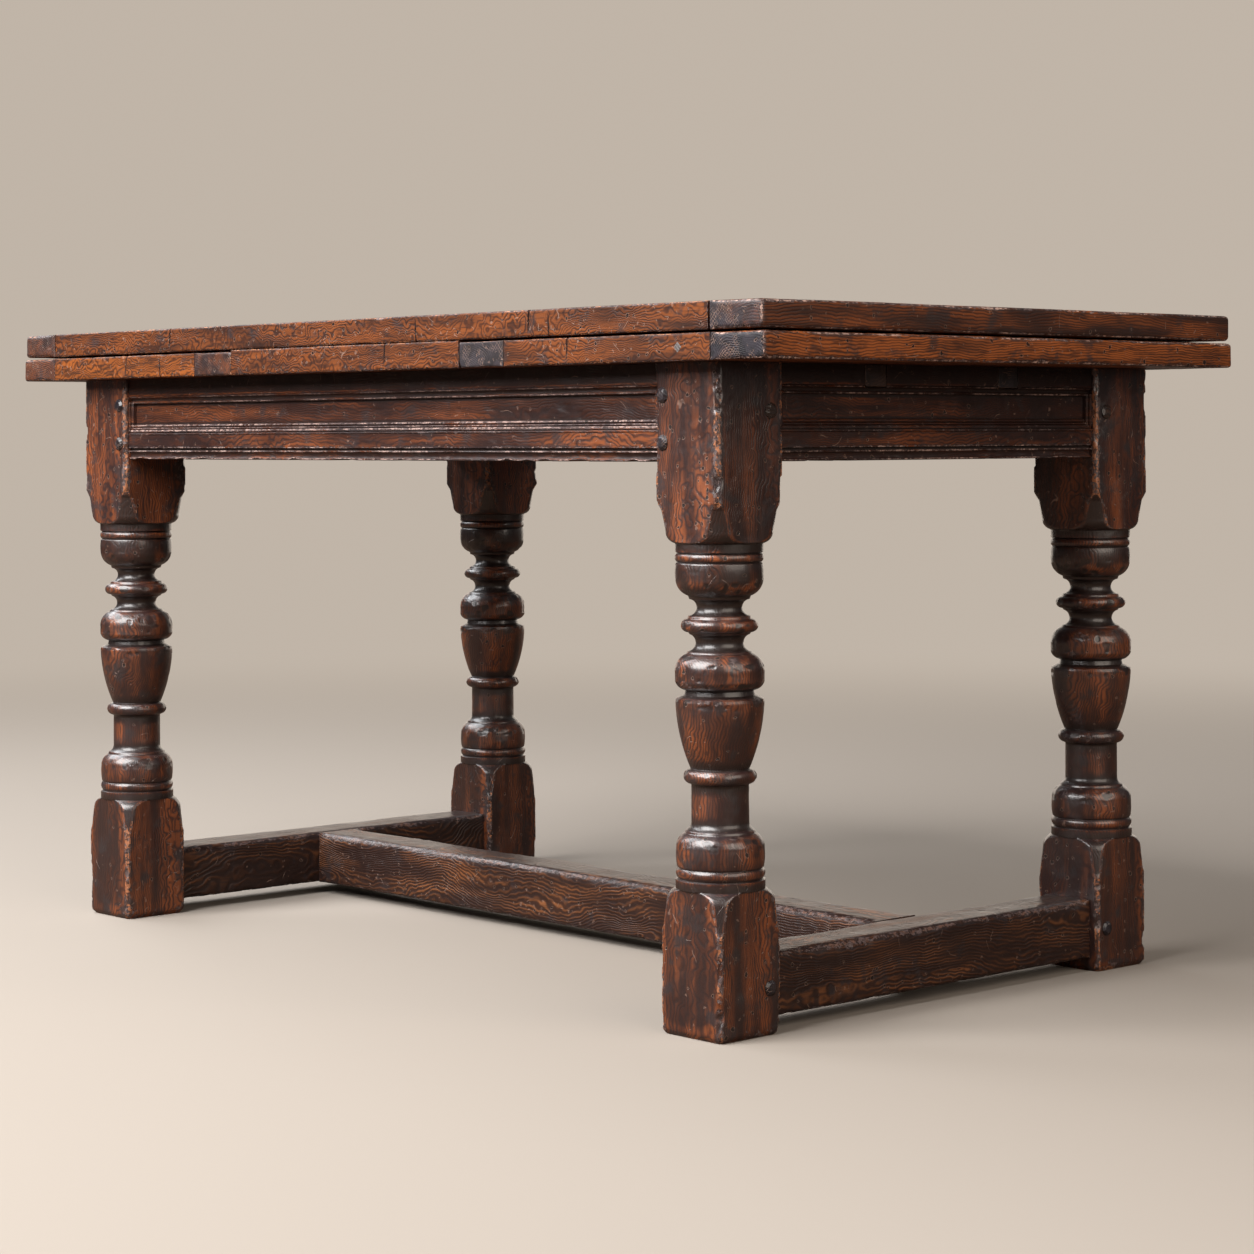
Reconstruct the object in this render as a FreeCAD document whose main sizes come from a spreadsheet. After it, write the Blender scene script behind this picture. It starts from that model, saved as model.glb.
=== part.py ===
"""Oak draw-leaf refectory table with four turned legs.

The frame is four turned legs, four moulded rails and an H of stretchers, all tenoned and pegged.
On the rails lies a lower layer of boards: a fixed centre board between two leaves. Each leaf hangs on
two lopers, square bars that slide in notches of its end rail and of the bearer under the centre board.
The main top lies loose on the centre board, held in place by four dowels, and lifts off.

Millimetres, +Z up. The origin is on the floor under the middle of the table. X runs along the table.
"""
import FreeCAD, Part
import math
import os
import re

doc = FreeCAD.newDocument("DrawLeafTable")

SIZES = (
    # whole table
    ("table_height", 760),
    ("top_length", 1392),
    ("top_width", 766),
    ("top_thickness", 30),
    ("top_cleat_width", 75),
    ("leaf_thickness", 29),
    ("leaf_overhang", 3),
    ("leaf_cleat_width", 77),
    ("centre_board_length", 439),
    ("centre_board_thickness", 31),
    ("seam_gap", 0.6),
    # frame
    ("frame_length", 1200),
    ("frame_width", 703),
    ("leg_width", 96),
    ("foot_width", 90),
    ("arris_wear", 1.8),
    ("top_block_height", 187.5),
    ("foot_block_height", 152.5),
    ("rail_height", 103),
    ("rail_thickness", 30),
    ("rail_setback", 6),
    ("rail_tenon_thickness", 10),
    ("rail_tenon_length", 45),
    ("rail_tenon_shoulder", 12),
    ("stretcher_height", 68),
    ("stretcher_width", 67),
    ("stretcher_lift", 15.5),
    ("stretcher_round", 5),
    ("stretcher_tenon_thickness", 22),
    ("stretcher_tenon_length", 42),
    ("stretcher_tenon_shoulder", 11),
    ("cross_tenon_length", 28),
    # pegs of the frame
    ("peg_diameter", 16.5),
    ("peg_length", 46),
    ("peg_proud", 3),
    ("long_rail_peg_inset", 13),
    ("long_rail_peg_upper", 33.5),
    ("long_rail_peg_lower", 83),
    ("end_rail_peg_inset", 19),
    ("end_rail_peg_drop", 50),
    ("stretcher_peg_inset", 17),
    # turned part of the leg: heights of the members, and how deep each lies below the full round
    ("turning_allowance", 1),
    ("shoulder_height", 44),
    ("shoulder_swell", 10),
    ("shoulder_round", 14),
    ("block_step", 5.5),
    ("block_step_height", 9),
    ("foot_step", 1.8),
    ("foot_step_height", 5),
    ("collar_height", 9.5),
    ("bead_height", 9),
    ("cup_height", 36),
    ("cup_rim", 11),
    ("cup_foot_depth", 14),
    ("fillet_height", 3.2),
    ("fillet_depth", 14.5),
    ("scotia_height", 17),
    ("scotia_depth", 23),
    ("knop_height", 13.5),
    ("knop_depth", 6),
    ("neck_height", 17.5),
    ("neck_depth", 21.8),
    ("upper_ball_height", 37.5),
    ("upper_ball_shoulder", 13.5),
    ("ball_foot_depth", 10),
    ("groove_height", 5),
    ("groove_depth", 11),
    ("vase_height", 73),
    ("vase_chamfer", 4),
    ("vase_foot_depth", 16),
    ("vase_bulge", 4.4),
    ("shaft_ring_height", 15.5),
    ("shaft_ring_depth", 8.5),
    ("shaft_depth", 16.8),
    ("flare_height", 7),
    ("lower_ball_height", 36),
    ("foot_ring_height", 10),
    ("foot_collar_height", 11.5),
    # moulding of the rails: heights from the top down, and how deep each lies behind the face
    ("rail_band_height", 24),
    ("rail_bead_height", 3.5),
    ("rail_cove_height", 6),
    ("rail_cove_depth", 4),
    ("rail_lip_height", 3.5),
    ("rail_lip_depth", 2),
    ("rail_panel_height", 21),
    ("rail_panel_depth", 7),
    ("rail_ogee_height", 12),
    ("rail_fascia_height", 17.5),
    ("rail_quirk_height", 1.5),
    ("rail_quirk_depth", 2.5),
    ("rail_hollow_height", 7.5),
    ("rail_hollow_depth", 3),
    # draw gear
    ("leaf_draw", 480),
    ("loper_width", 33),
    ("loper_height", 24),
    ("loper_side_clearance", 0.5),
    ("loper_relief", 0.4),
    ("loper_tail", 13.5),
    ("right_loper_offset", 108.5),
    ("left_loper_offset", 161.5),
    ("slide_clearance", 0.1),
    ("bearer_width", 60),
    ("bearer_height", 69),
    ("bearer_tenon_length", 9),
    ("bearer_tenon_width", 40),
    ("bearer_tenon_height", 36),
    ("stop_peg_diameter", 12),
    ("stop_peg_drop", 16),
    ("stop_clearance", 0.5),
    ("screw_diameter", 5),
    ("screw_head_diameter", 10),
    ("screw_head_height", 4),
    ("screw_bite", 17),
    ("screw_end_margin", 40),
    # boards
    ("tongue_thickness", 10),
    ("tongue_length", 20),
    ("tongue_inset", 26),
    ("cleat_peg_diameter", 10),
    ("board_peg_diameter", 12),
    ("board_peg_bite", 32),
    ("board_peg_distance", 300),
    ("edge_peg_side", 10),
    ("edge_peg_depth", 20),
    ("edge_peg_from_cleat", 48),
    # dowels that keep the main top in place
    ("dowel_diameter", 18),
    ("dowel_clearance", 0.3),
    ("dowel_drop", 27),
    ("dowel_bite", 18),
    ("dowel_distance", 180),
)
PLANKS = 4

# where the arcs of the sections pass, as shares of each arc's depth and of its height
SHOULDER_ARC = (0.7, 0.33)
UPPER_SWELL_ARC = (0.75, 0.45)
LOWER_SWELL_ARC = (0.78, 0.62)
LOWER_BALL_WIDEST = 0.55
FLARE_ARC = (0.25, 0.35)
OGEE_HOLLOW_ARC = (0.85, 0.3)
OGEE_ROUND_ARC = (0.15, 0.7)

sheet = doc.addObject("Spreadsheet::Sheet", "Sizes")
for row, (alias, number) in enumerate(SIZES, start=1):
    sheet.set(f"A{row}", alias)
    sheet.set(f"B{row}", str(number))
    sheet.setAlias(f"B{row}", alias)
doc.recompute()


def size(alias):
    """The number in the sheet under that alias."""
    return float(sheet.get(alias))


def bound(text):
    """Expression text with each size's name turned into a reference to its cell."""
    return re.sub(r"\b[a-z]\w*\b(?!\()", lambda name: "Sizes." + name.group(), text)


# levels and faces that several pieces share
RAIL_TOP = "(table_height - top_thickness - centre_board_thickness)"
RAIL_BOTTOM = f"({RAIL_TOP} - rail_height)"
LEAF_UNDERSIDE = f"({RAIL_TOP} + slide_clearance)"
TOP_UNDERSIDE = "(table_height - top_thickness)"
LOPER_BOTTOM = f"({LEAF_UNDERSIDE} - loper_height)"
NOTCH_FLOOR = f"({LOPER_BOTTOM} - slide_clearance)"
LEG_INNER_X = "(frame_length / 2 - leg_width)"
LEG_INNER_Y = "(frame_width / 2 - leg_width)"
LEG_AXIS_X = "(frame_length / 2 - leg_width / 2)"
LEG_AXIS_Y = "(frame_width / 2 - leg_width / 2)"
FOOT_INNER_X = "(frame_length / 2 - leg_width / 2 - foot_width / 2)"
FOOT_INNER_Y = "(frame_width / 2 - leg_width / 2 - foot_width / 2)"
RAIL_INNER_Y = "(frame_width / 2 - rail_setback - rail_thickness)"
RAIL_INNER_X = "(frame_length / 2 - rail_setback - rail_thickness)"
RAIL_MIDDLE_X = "(frame_length / 2 - rail_setback - rail_thickness / 2)"
RAIL_MIDDLE_Y = "(frame_width / 2 - rail_setback - rail_thickness / 2)"
LOPER_OUTER = "(frame_length / 2 - rail_setback)"
LEAF_INNER = "(centre_board_length / 2 + seam_gap)"
LEAF_OUTER = "(top_length / 2 + leaf_overhang)"
STRETCHER_MIDDLE = "(stretcher_lift + stretcher_height / 2)"
STOP_PEG_PLACE = "(bearer_width / 2 + stop_peg_diameter / 2 + stop_clearance + leaf_draw)"
PLANK_WIDTH = f"(top_width / {PLANKS})"

TURN_TO_AXIS = {
    "x": FreeCAD.Rotation(FreeCAD.Vector(0, 1, 0), 90),
    "y": FreeCAD.Rotation(FreeCAD.Vector(1, 0, 0), -90),
    "z": FreeCAD.Rotation(),
}
ENDS = {"right": 1, "left": -1}
SIDES = {"front": -1, "back": 1}


def place(piece, corner):
    """Ties the piece's position to three expressions."""
    for axis, text in zip("xyz", corner):
        piece.setExpression(f"Placement.Base.{axis}", bound(text))


def block(name, corner, extent):
    """A square-edged block from its lowest corner and its three sizes."""
    piece = doc.addObject("Part::Box", name)
    for side, text in zip(("Length", "Width", "Height"), extent):
        piece.setExpression(side, bound(text))
    place(piece, corner)
    return piece


def rod(name, axis, start, diameter, length):
    """A round rod along an axis, from its lower end."""
    piece = doc.addObject("Part::Cylinder", name)
    piece.Placement.Rotation = TURN_TO_AXIS[axis]
    piece.setExpression("Radius", bound(f"({diameter}) / 2"))
    piece.setExpression("Height", bound(length))
    place(piece, start)
    return piece


def joined(name, *pieces):
    """One solid of several blocks that meet."""
    piece = doc.addObject("Part::MultiFuse", name)
    piece.Shapes = list(pieces)
    piece.Refine = True
    return piece


def carved(name, stock, *tools):
    """The stock with each tool's volume cut away in turn."""
    for number, tool in enumerate(tools, start=1):
        cut = doc.addObject("Part::Cut", name if number == len(tools) else f"{name}_cut{number}")
        cut.Base = stock
        cut.Tool = tool
        stock = cut
    return stock


def group(name, pieces):
    """Separate solids kept together under one name."""
    piece = doc.addObject("Part::Compound", name)
    piece.Links = list(pieces)
    return piece


def stretch(side, start, length):
    """Lower end of a stretch of that length which starts at start, out from the middle on one side."""
    return start if side > 0 else f"-({start}) - ({length})"


def outline(points):
    """A closed face through the points; a point given as a pair is passed in an arc to the second."""
    edges = []
    last = points[0]
    for step in points[1:] + [points[0]]:
        if isinstance(step, tuple):
            edges.append(Part.Arc(last, *step).toShape())
            last = step[1]
        else:
            edges.append(Part.LineSegment(last, step).toShape())
            last = step
    return Part.Face(Part.Wire(edges))


def turning_outline():
    """Half section of a whole leg, foot first: r is the radius and each member adds its height to z."""
    full = size("leg_width") / 2 - size("turning_allowance")
    block_radius = size("leg_width") / math.sqrt(2) - size("arris_wear")
    foot_radius = size("foot_width") / math.sqrt(2) - size("arris_wear")
    nick = size("fillet_height") / 2
    leg_height = size("table_height") - size("top_thickness") - size("centre_board_thickness")

    def at(radius, height):
        return FreeCAD.Vector(radius, 0, height)

    def deep(alias):
        return full - size(alias)

    def swelling(top, height, widest, upper_radius, lower_radius):
        """Two arcs down a ball or cup, meeting at the full round some way below its top."""
        upper = at(upper_radius + (full - upper_radius) * UPPER_SWELL_ARC[0],
                   top - widest * UPPER_SWELL_ARC[1])
        rest = height - widest
        lower = at(lower_radius + (full - lower_radius) * LOWER_SWELL_ARC[0],
                   top - widest - rest * LOWER_SWELL_ARC[1])
        return [(upper, at(full, top - widest)), (lower, at(lower_radius, top - height))]

    def hollow(top, height, radius, lip):
        """An arc that sinks below the fillets above and beneath it."""
        edge = deep("fillet_depth") - lip
        return [at(edge, top), (at(radius, top - height / 2), at(edge, top - height))]

    def shoulder(level, side, radius, step, step_height):
        """From the edge of a square block to the round: a nick, a straight taper and a rounded end."""
        return [
            at(radius, level + side * size("shoulder_height")),
            at(radius - step, level + side * (size("shoulder_height") - step_height)),
            at(full + size("shoulder_swell"), level + side * size("shoulder_round")),
            (at(full + size("shoulder_swell") * SHOULDER_ARC[0],
                level + side * size("shoulder_round") * SHOULDER_ARC[1]), at(full, level)),
        ]

    points = [at(0, 0), at(foot_radius, 0)]
    z = size("foot_block_height")
    points += shoulder(z, -1, foot_radius, size("foot_step"), size("foot_step_height"))
    z += size("foot_collar_height")
    points += [at(full, z - nick), at(full - nick / 2, z)]
    ring = size("foot_ring_height")
    points += [(at(full, z + ring / 2), at(full - nick / 2, z + ring))]
    z += ring
    top = z + size("lower_ball_height")
    points += [(at(full - nick / 2, z + size("lower_ball_height") * LOWER_BALL_WIDEST),
                at(deep("ball_foot_depth"), top))]
    z = top + size("fillet_height")
    points += [at(deep("ball_foot_depth"), z)]
    flare = size("shaft_depth") - size("ball_foot_depth")
    points += [(at(deep("shaft_depth") + flare * FLARE_ARC[0], z + size("flare_height") * FLARE_ARC[1]),
                at(deep("shaft_depth"), z + size("flare_height")))]

    # the members above the shaft are stacked from the top block down, so that the shaft takes up the rest
    y = leg_height - size("top_block_height")
    above = [at(block_radius, leg_height)]
    above += shoulder(y, 1, block_radius, size("block_step"), size("block_step_height"))
    y -= size("collar_height")
    above += [at(full, y + nick / 2), at(full - nick / 2, y)]
    above += [(at(full, y - size("bead_height") / 2), at(full - nick / 2, y - size("bead_height")))]
    y -= size("bead_height")
    above += swelling(y, size("cup_height"), size("cup_rim"), full - nick / 2, deep("cup_foot_depth"))
    y -= size("cup_height") + size("fillet_height")
    above += [at(deep("fillet_depth"), y)]
    above += hollow(y, size("scotia_height"), deep("scotia_depth"), nick * 2)
    y -= size("scotia_height")
    above += [at(deep("fillet_depth"), y), at(deep("fillet_depth"), y - size("fillet_height"))]
    y -= size("fillet_height")
    above += [(at(deep("knop_depth"), y - size("knop_height") / 2),
               at(deep("fillet_depth"), y - size("knop_height")))]
    y -= size("knop_height") + size("fillet_height")
    above += [at(deep("fillet_depth"), y)]
    above += hollow(y, size("neck_height"), deep("neck_depth"), nick)
    y -= size("neck_height")
    above += [at(deep("fillet_depth"), y), at(deep("fillet_depth"), y - size("fillet_height"))]
    y -= size("fillet_height")
    above += [at(deep("ball_foot_depth"), y)]
    ball = size("upper_ball_height")
    widest = ball - size("upper_ball_shoulder")
    above += swelling(y, ball, widest, deep("ball_foot_depth"), deep("groove_depth"))
    y -= ball + size("groove_height")
    above += [at(deep("groove_depth"), y), at(full, y - size("vase_chamfer"))]
    y -= size("vase_chamfer")
    vase = size("vase_height")
    above += [(at(full - size("vase_foot_depth") / 2 + size("vase_bulge"), y - vase / 2),
               at(deep("vase_foot_depth"), y - vase))]
    y -= vase
    above += [(at(deep("shaft_ring_depth"), y - size("shaft_ring_height") / 2),
               at(deep("vase_foot_depth"), y - size("shaft_ring_height")))]
    y -= size("shaft_ring_height")
    above += [at(deep("shaft_depth"), y)]
    return points + upward(above) + [at(0, leg_height)]


def upward(steps):
    """The same run of lines and arcs, walked from its last point to its first."""
    ends = [step[1] if isinstance(step, tuple) else step for step in steps]
    turned = [ends[-1]]
    for number in range(len(steps) - 1, 0, -1):
        step = steps[number]
        turned.append((step[0], ends[number - 1]) if isinstance(step, tuple) else ends[number - 1])
    return turned


def rail_outline(depth_axis):
    """Section of a rail: bead, cove and lip over a sunk panel, an ogee, a fascia and a beaded hollow foot."""
    bead = size("rail_bead_height")

    def at(depth, height):
        return depth_axis * depth + FreeCAD.Vector(0, 0, -height)

    points = [at(size("rail_thickness"), 0), at(0, 0)]
    drop = size("rail_band_height")
    points += [at(0, drop), at(bead / 3, drop)]
    points += [(at(0, drop + bead / 2), at(bead / 3, drop + bead))]
    drop += bead
    points += [(at(size("rail_cove_depth"), drop + size("rail_cove_height") / 2),
                at(size("rail_lip_depth"), drop + size("rail_cove_height")))]
    drop += size("rail_cove_height")
    points += [at(size("rail_lip_depth"), drop + size("rail_lip_height"))]
    drop += size("rail_lip_height")
    sunk = size("rail_panel_depth")
    points += [at(sunk, drop), at(sunk, drop + size("rail_panel_height"))]
    drop += size("rail_panel_height")
    ogee = size("rail_ogee_height")
    middle = at(sunk / 2, drop + ogee / 2)
    points += [(at(sunk * OGEE_HOLLOW_ARC[0], drop + ogee * OGEE_HOLLOW_ARC[1]), middle),
               (at(sunk * OGEE_ROUND_ARC[0], drop + ogee * OGEE_ROUND_ARC[1]), at(0, drop + ogee))]
    drop += ogee + size("rail_fascia_height")
    points += [at(0, drop), at(size("rail_quirk_depth"), drop)]
    drop += size("rail_quirk_height")
    points += [at(size("rail_quirk_depth"), drop), at(0, drop + size("rail_quirk_height"))]
    drop += size("rail_quirk_height")
    points += [(at(size("rail_hollow_depth"), drop + size("rail_hollow_height") / 2),
                at(0, drop + size("rail_hollow_height")))]
    points += [at(0, size("rail_height")), at(size("rail_thickness"), size("rail_height"))]
    return points


def profile(name, face, corner):
    """A flat section, kept as its own object and tied to its place."""
    section = doc.addObject("Part::Feature", name)
    section.Shape = face
    place(section, corner)
    return section


# pegs of the frame, which also serve as the tools for their own holes
def frame_peg(name, axis, side, face, across, height):
    """A peg driven inward from a leg's outer face, its head a little proud."""
    start = f"{face} + peg_proud - peg_length" if side > 0 else f"-({face}) - peg_proud"
    corner = (start, across, height) if axis == "x" else (across, start, height)
    return rod(name, axis, corner, "peg_diameter", "peg_length")


rail_peg_solids = []
stretcher_peg_solids = []
for end, x_side in ENDS.items():
    for side, y_side in SIDES.items():
        corner_name = f"{side}_{end}"
        across = f"{x_side} * ({LEG_INNER_X} + long_rail_peg_inset)"
        for level in ("upper", "lower"):
            height = f"{RAIL_TOP} - long_rail_peg_{level}"
            name = f"long_rail_peg_{level}_{corner_name}"
            rail_peg_solids.append(frame_peg(name, "y", y_side, "frame_width / 2", across, height))
        across = f"{y_side} * ({LEG_INNER_Y} + end_rail_peg_inset)"
        height = f"{RAIL_TOP} - end_rail_peg_drop"
        name = f"end_rail_peg_{corner_name}"
        rail_peg_solids.append(frame_peg(name, "x", x_side, "frame_length / 2", across, height))
        across = f"{y_side} * ({FOOT_INNER_Y} + stretcher_peg_inset)"
        foot_face = f"{FOOT_INNER_X} + foot_width"
        name = f"stretcher_peg_{corner_name}"
        stretcher_peg_solids.append(frame_peg(name, "x", x_side, foot_face, across, STRETCHER_MIDDLE))
rail_pegs = group("rail_pegs", rail_peg_solids)
stretcher_pegs = group("stretcher_pegs", stretcher_peg_solids)


# rails, with their tenons
def rail_tenon(name, along, x_side, y_side):
    """Tenon of a long rail (along x) or of an end rail (along y) into one leg."""
    length = "rail_tenon_length"
    height = "rail_height - 2 * rail_tenon_shoulder"
    low = f"{RAIL_BOTTOM} + rail_tenon_shoulder"
    if along == "x":
        across = f"{y_side} * {RAIL_MIDDLE_Y} - rail_tenon_thickness / 2"
        corner = (stretch(x_side, LEG_INNER_X, length), across, low)
        return block(name, corner, (length, "rail_tenon_thickness", height))
    across = f"{x_side} * {RAIL_MIDDLE_X} - rail_tenon_thickness / 2"
    corner = (across, stretch(y_side, LEG_INNER_Y, length), low)
    return block(name, corner, ("rail_tenon_thickness", length, height))


def moulded_bar(name, along, side):
    """A rail between two legs' faces, its moulded face turned outward."""
    if along == "x":
        section = outline(rail_outline(FreeCAD.Vector(0, -side, 0)))
        corner = (f"-{LEG_INNER_X}", f"{side} * (frame_width / 2 - rail_setback)", RAIL_TOP)
        length = f"2 * {LEG_INNER_X}"
        direction = FreeCAD.Vector(1, 0, 0)
    else:
        section = outline(rail_outline(FreeCAD.Vector(-side, 0, 0)))
        corner = (f"{side} * (frame_length / 2 - rail_setback)", f"-{LEG_INNER_Y}", RAIL_TOP)
        length = f"2 * {LEG_INNER_Y}"
        direction = FreeCAD.Vector(0, 1, 0)
    bar = doc.addObject("Part::Extrusion", name)
    bar.Base = profile(f"{name}_section", section, corner)
    bar.DirMode = "Custom"
    bar.Dir = direction
    bar.Solid = True
    bar.setExpression("LengthFwd", bound(length))
    return bar


def notch(name, x_low, x_length, offset, y_side):
    """Room for one loper in an end rail or in the bearer, open at the top."""
    width = "(loper_width + 2 * loper_side_clearance)"
    corner = (x_low, f"{y_side} * {offset} - {width} / 2", NOTCH_FLOOR)
    return block(name, corner, (x_length, width, f"{RAIL_TOP} - {NOTCH_FLOOR}"))


nodes = []
tenons = {}
bearer_tenons = {}
for side, y_side in SIDES.items():
    corner = ("-bearer_tenon_width / 2", stretch(y_side, RAIL_INNER_Y, "bearer_tenon_length"),
              f"{RAIL_TOP} - bearer_height / 2 - bearer_tenon_height / 2")
    extent = ("bearer_tenon_width", "bearer_tenon_length", "bearer_tenon_height")
    bearer_tenons[side] = block(f"bearer_tenon_{side}", corner, extent)

# pegs that hold the centre board down on the long rails
board_pegs = []
for end, x_side in ENDS.items():
    for side, y_side in SIDES.items():
        start = (f"{x_side} * board_peg_distance / 2", f"{y_side} * {RAIL_MIDDLE_Y}",
                 f"{RAIL_TOP} - board_peg_bite")
        length = "board_peg_bite + centre_board_thickness"
        board_pegs.append(rod(f"board_peg_{side}_{end}", "z", start, "board_peg_diameter", length))
centre_board_pegs = group("centre_board_pegs", board_pegs)

for side, y_side in SIDES.items():
    bar = moulded_bar(f"long_bar_{side}", "x", y_side)
    for end, x_side in ENDS.items():
        tenons["x", side, end] = rail_tenon(f"long_tenon_{side}_{end}", "x", x_side, y_side)
    blank = joined(f"long_rail_{side}_blank", bar, tenons["x", side, "right"], tenons["x", side, "left"])
    nodes.append(carved(f"long_rail_{side}", blank, bearer_tenons[side], rail_pegs, centre_board_pegs))

LOPER_OFFSET = {"right": "right_loper_offset", "left": "left_loper_offset"}
for end, x_side in ENDS.items():
    bar = moulded_bar(f"end_bar_{end}", "y", x_side)
    for side, y_side in SIDES.items():
        tenons["y", side, end] = rail_tenon(f"end_tenon_{side}_{end}", "y", x_side, y_side)
    blank = joined(f"end_rail_{end}_blank", bar, tenons["y", "front", end], tenons["y", "back", end])
    room = []
    for side, y_side in SIDES.items():
        low = stretch(x_side, RAIL_INNER_X, "rail_thickness")
        room.append(notch(f"end_notch_{side}_{end}", low, "rail_thickness", LOPER_OFFSET[end], y_side))
    nodes.append(carved(f"end_rail_{end}", blank, *room, rail_pegs))


# stretchers
def rounded_bar(name, corner, extent, along):
    """A square bar whose long edges are rounded off by wear."""
    bar = block(f"{name}_square", corner, extent)
    doc.recompute()
    worn = doc.addObject("Part::Fillet", name)
    worn.Base = bar
    radius = size("stretcher_round")
    long_edges = []
    for number, edge in enumerate(bar.Shape.Edges, start=1):
        if abs(edge.tangentAt(edge.FirstParameter).dot(along)) > 0.5:
            long_edges.append((number, radius, radius))
    worn.Edges = long_edges
    return worn


def stretcher_tenon(end, side):
    """Tenon of an end stretcher into one foot."""
    x_side = ENDS[end]
    y_side = SIDES[side]
    corner = (f"{x_side} * {LEG_AXIS_X} - stretcher_tenon_thickness / 2",
              stretch(y_side, FOOT_INNER_Y, "stretcher_tenon_length"),
              "stretcher_lift + stretcher_tenon_shoulder")
    extent = ("stretcher_tenon_thickness", "stretcher_tenon_length",
              "stretcher_height - 2 * stretcher_tenon_shoulder")
    return block(f"stretcher_tenon_{side}_{end}", corner, extent)


END_STRETCHER_INNER = f"({LEG_AXIS_X} - stretcher_width / 2)"
cross_tenons = {}
for end, x_side in ENDS.items():
    corner = (stretch(x_side, END_STRETCHER_INNER, "cross_tenon_length"), "-stretcher_tenon_thickness / 2",
              "stretcher_lift + stretcher_tenon_shoulder")
    extent = ("cross_tenon_length", "stretcher_tenon_thickness",
              "stretcher_height - 2 * stretcher_tenon_shoulder")
    cross_tenons[end] = block(f"cross_tenon_{end}", corner, extent)
    corner = (f"{x_side} * {LEG_AXIS_X} - stretcher_width / 2", f"-{FOOT_INNER_Y}", "stretcher_lift")
    extent = ("stretcher_width", f"2 * {FOOT_INNER_Y}", "stretcher_height")
    bar = rounded_bar(f"end_stretcher_{end}_bar", corner, extent, FreeCAD.Vector(0, 1, 0))
    for side in SIDES:
        tenons["foot", side, end] = stretcher_tenon(end, side)
    ends = (tenons["foot", "front", end], tenons["foot", "back", end])
    blank = joined(f"end_stretcher_{end}_blank", bar, *ends)
    nodes.append(carved(f"end_stretcher_{end}", blank, cross_tenons[end], stretcher_pegs))
corner = (f"-{END_STRETCHER_INNER}", "-stretcher_width / 2", "stretcher_lift")
extent = (f"2 * {END_STRETCHER_INNER}", "stretcher_width", "stretcher_height")
bar = rounded_bar("centre_stretcher_bar", corner, extent, FreeCAD.Vector(1, 0, 0))
nodes.append(joined("centre_stretcher", bar, cross_tenons["right"], cross_tenons["left"]))


# legs
def turned_leg(side, end):
    """A leg: the square blank within its turned outline, with mortises for two rails and a stretcher."""
    x_side = ENDS[end]
    y_side = SIDES[side]
    name = f"leg_{side}_{end}"
    axis = (f"{x_side} * {LEG_AXIS_X}", f"{y_side} * {LEG_AXIS_Y}")
    upper = block(f"{name}_upper",
                  (f"{axis[0]} - leg_width / 2", f"{axis[1]} - leg_width / 2", "foot_block_height"),
                  ("leg_width", "leg_width", f"{RAIL_TOP} - foot_block_height"))
    foot = block(f"{name}_foot", (f"{axis[0]} - foot_width / 2", f"{axis[1]} - foot_width / 2", "0"),
                 ("foot_width", "foot_width", "foot_block_height"))
    turned = doc.addObject("Part::Revolution", f"{name}_turning")
    turned.Source = profile(f"{name}_section", outline(turning_outline()), (*axis, "0"))
    turned.Axis = FreeCAD.Vector(0, 0, 1)
    turned.setExpression("Base.x", bound(axis[0]))
    turned.setExpression("Base.y", bound(axis[1]))
    turned.Angle = 360
    shaped = doc.addObject("Part::Common", f"{name}_shaped")
    shaped.Base = joined(f"{name}_blank", upper, foot)
    shaped.Tool = turned
    mortises = (tenons["x", side, end], tenons["y", side, end], tenons["foot", side, end])
    return carved(name, shaped, *mortises, rail_pegs, stretcher_pegs)


for end in ENDS:
    for side in SIDES:
        nodes.append(turned_leg(side, end))
nodes += [rail_pegs, stretcher_pegs]

# bearer under the centre board, notched for all four lopers
corner = ("-bearer_width / 2", f"-{RAIL_INNER_Y}", f"{RAIL_TOP} - bearer_height")
bar = block("bearer_bar", corner, ("bearer_width", f"2 * {RAIL_INNER_Y}", "bearer_height"))
blank = joined("bearer_blank", bar, bearer_tenons["front"], bearer_tenons["back"])
room = []
for end, offset in LOPER_OFFSET.items():
    for side, y_side in SIDES.items():
        room.append(notch(f"bearer_notch_{side}_{end}", "-bearer_width / 2", "bearer_width", offset, y_side))
nodes.append(carved("centre_bearer", blank, *room))


# boards
def plank_low(number):
    """Front edge of a plank, counted from the front."""
    return f"(-top_width / 2 + {number} * {PLANK_WIDTH})"


def tongue(name, number, x_side, shoulder, middle):
    """Tongue at one end of a plank; those of the outer planks stop short of the table's edge."""
    low = plank_low(number)
    length = PLANK_WIDTH
    if number == 0:
        low = f"({low} + tongue_inset)"
    if number in (0, PLANKS - 1):
        length = f"({PLANK_WIDTH} - tongue_inset)"
    corner = (stretch(x_side, shoulder, "tongue_length"), low, f"{middle} - tongue_thickness / 2")
    return block(name, corner, ("tongue_length", length, "tongue_thickness"))


def cleat_pegs(name, places, low, thickness):
    """Pegs down through a cleat and its tongues, one for each plank."""
    pegs = []
    for place_number, place_x in enumerate(places):
        for number in range(PLANKS):
            start = (place_x, f"{plank_low(number)} + {PLANK_WIDTH} / 2", low)
            peg_name = f"{name}_{place_number}_{number}"
            pegs.append(rod(peg_name, "z", start, "cleat_peg_diameter", thickness))
    return group(name, pegs)


def cleat(name, x_low, width, low, thickness, grooves):
    """A board across the ends of the planks, grooved over their tongues."""
    stock = block(f"{name}_board", (x_low, "-top_width / 2", low), (width, "top_width", thickness))
    return carved(name, stock, *grooves)


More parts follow.
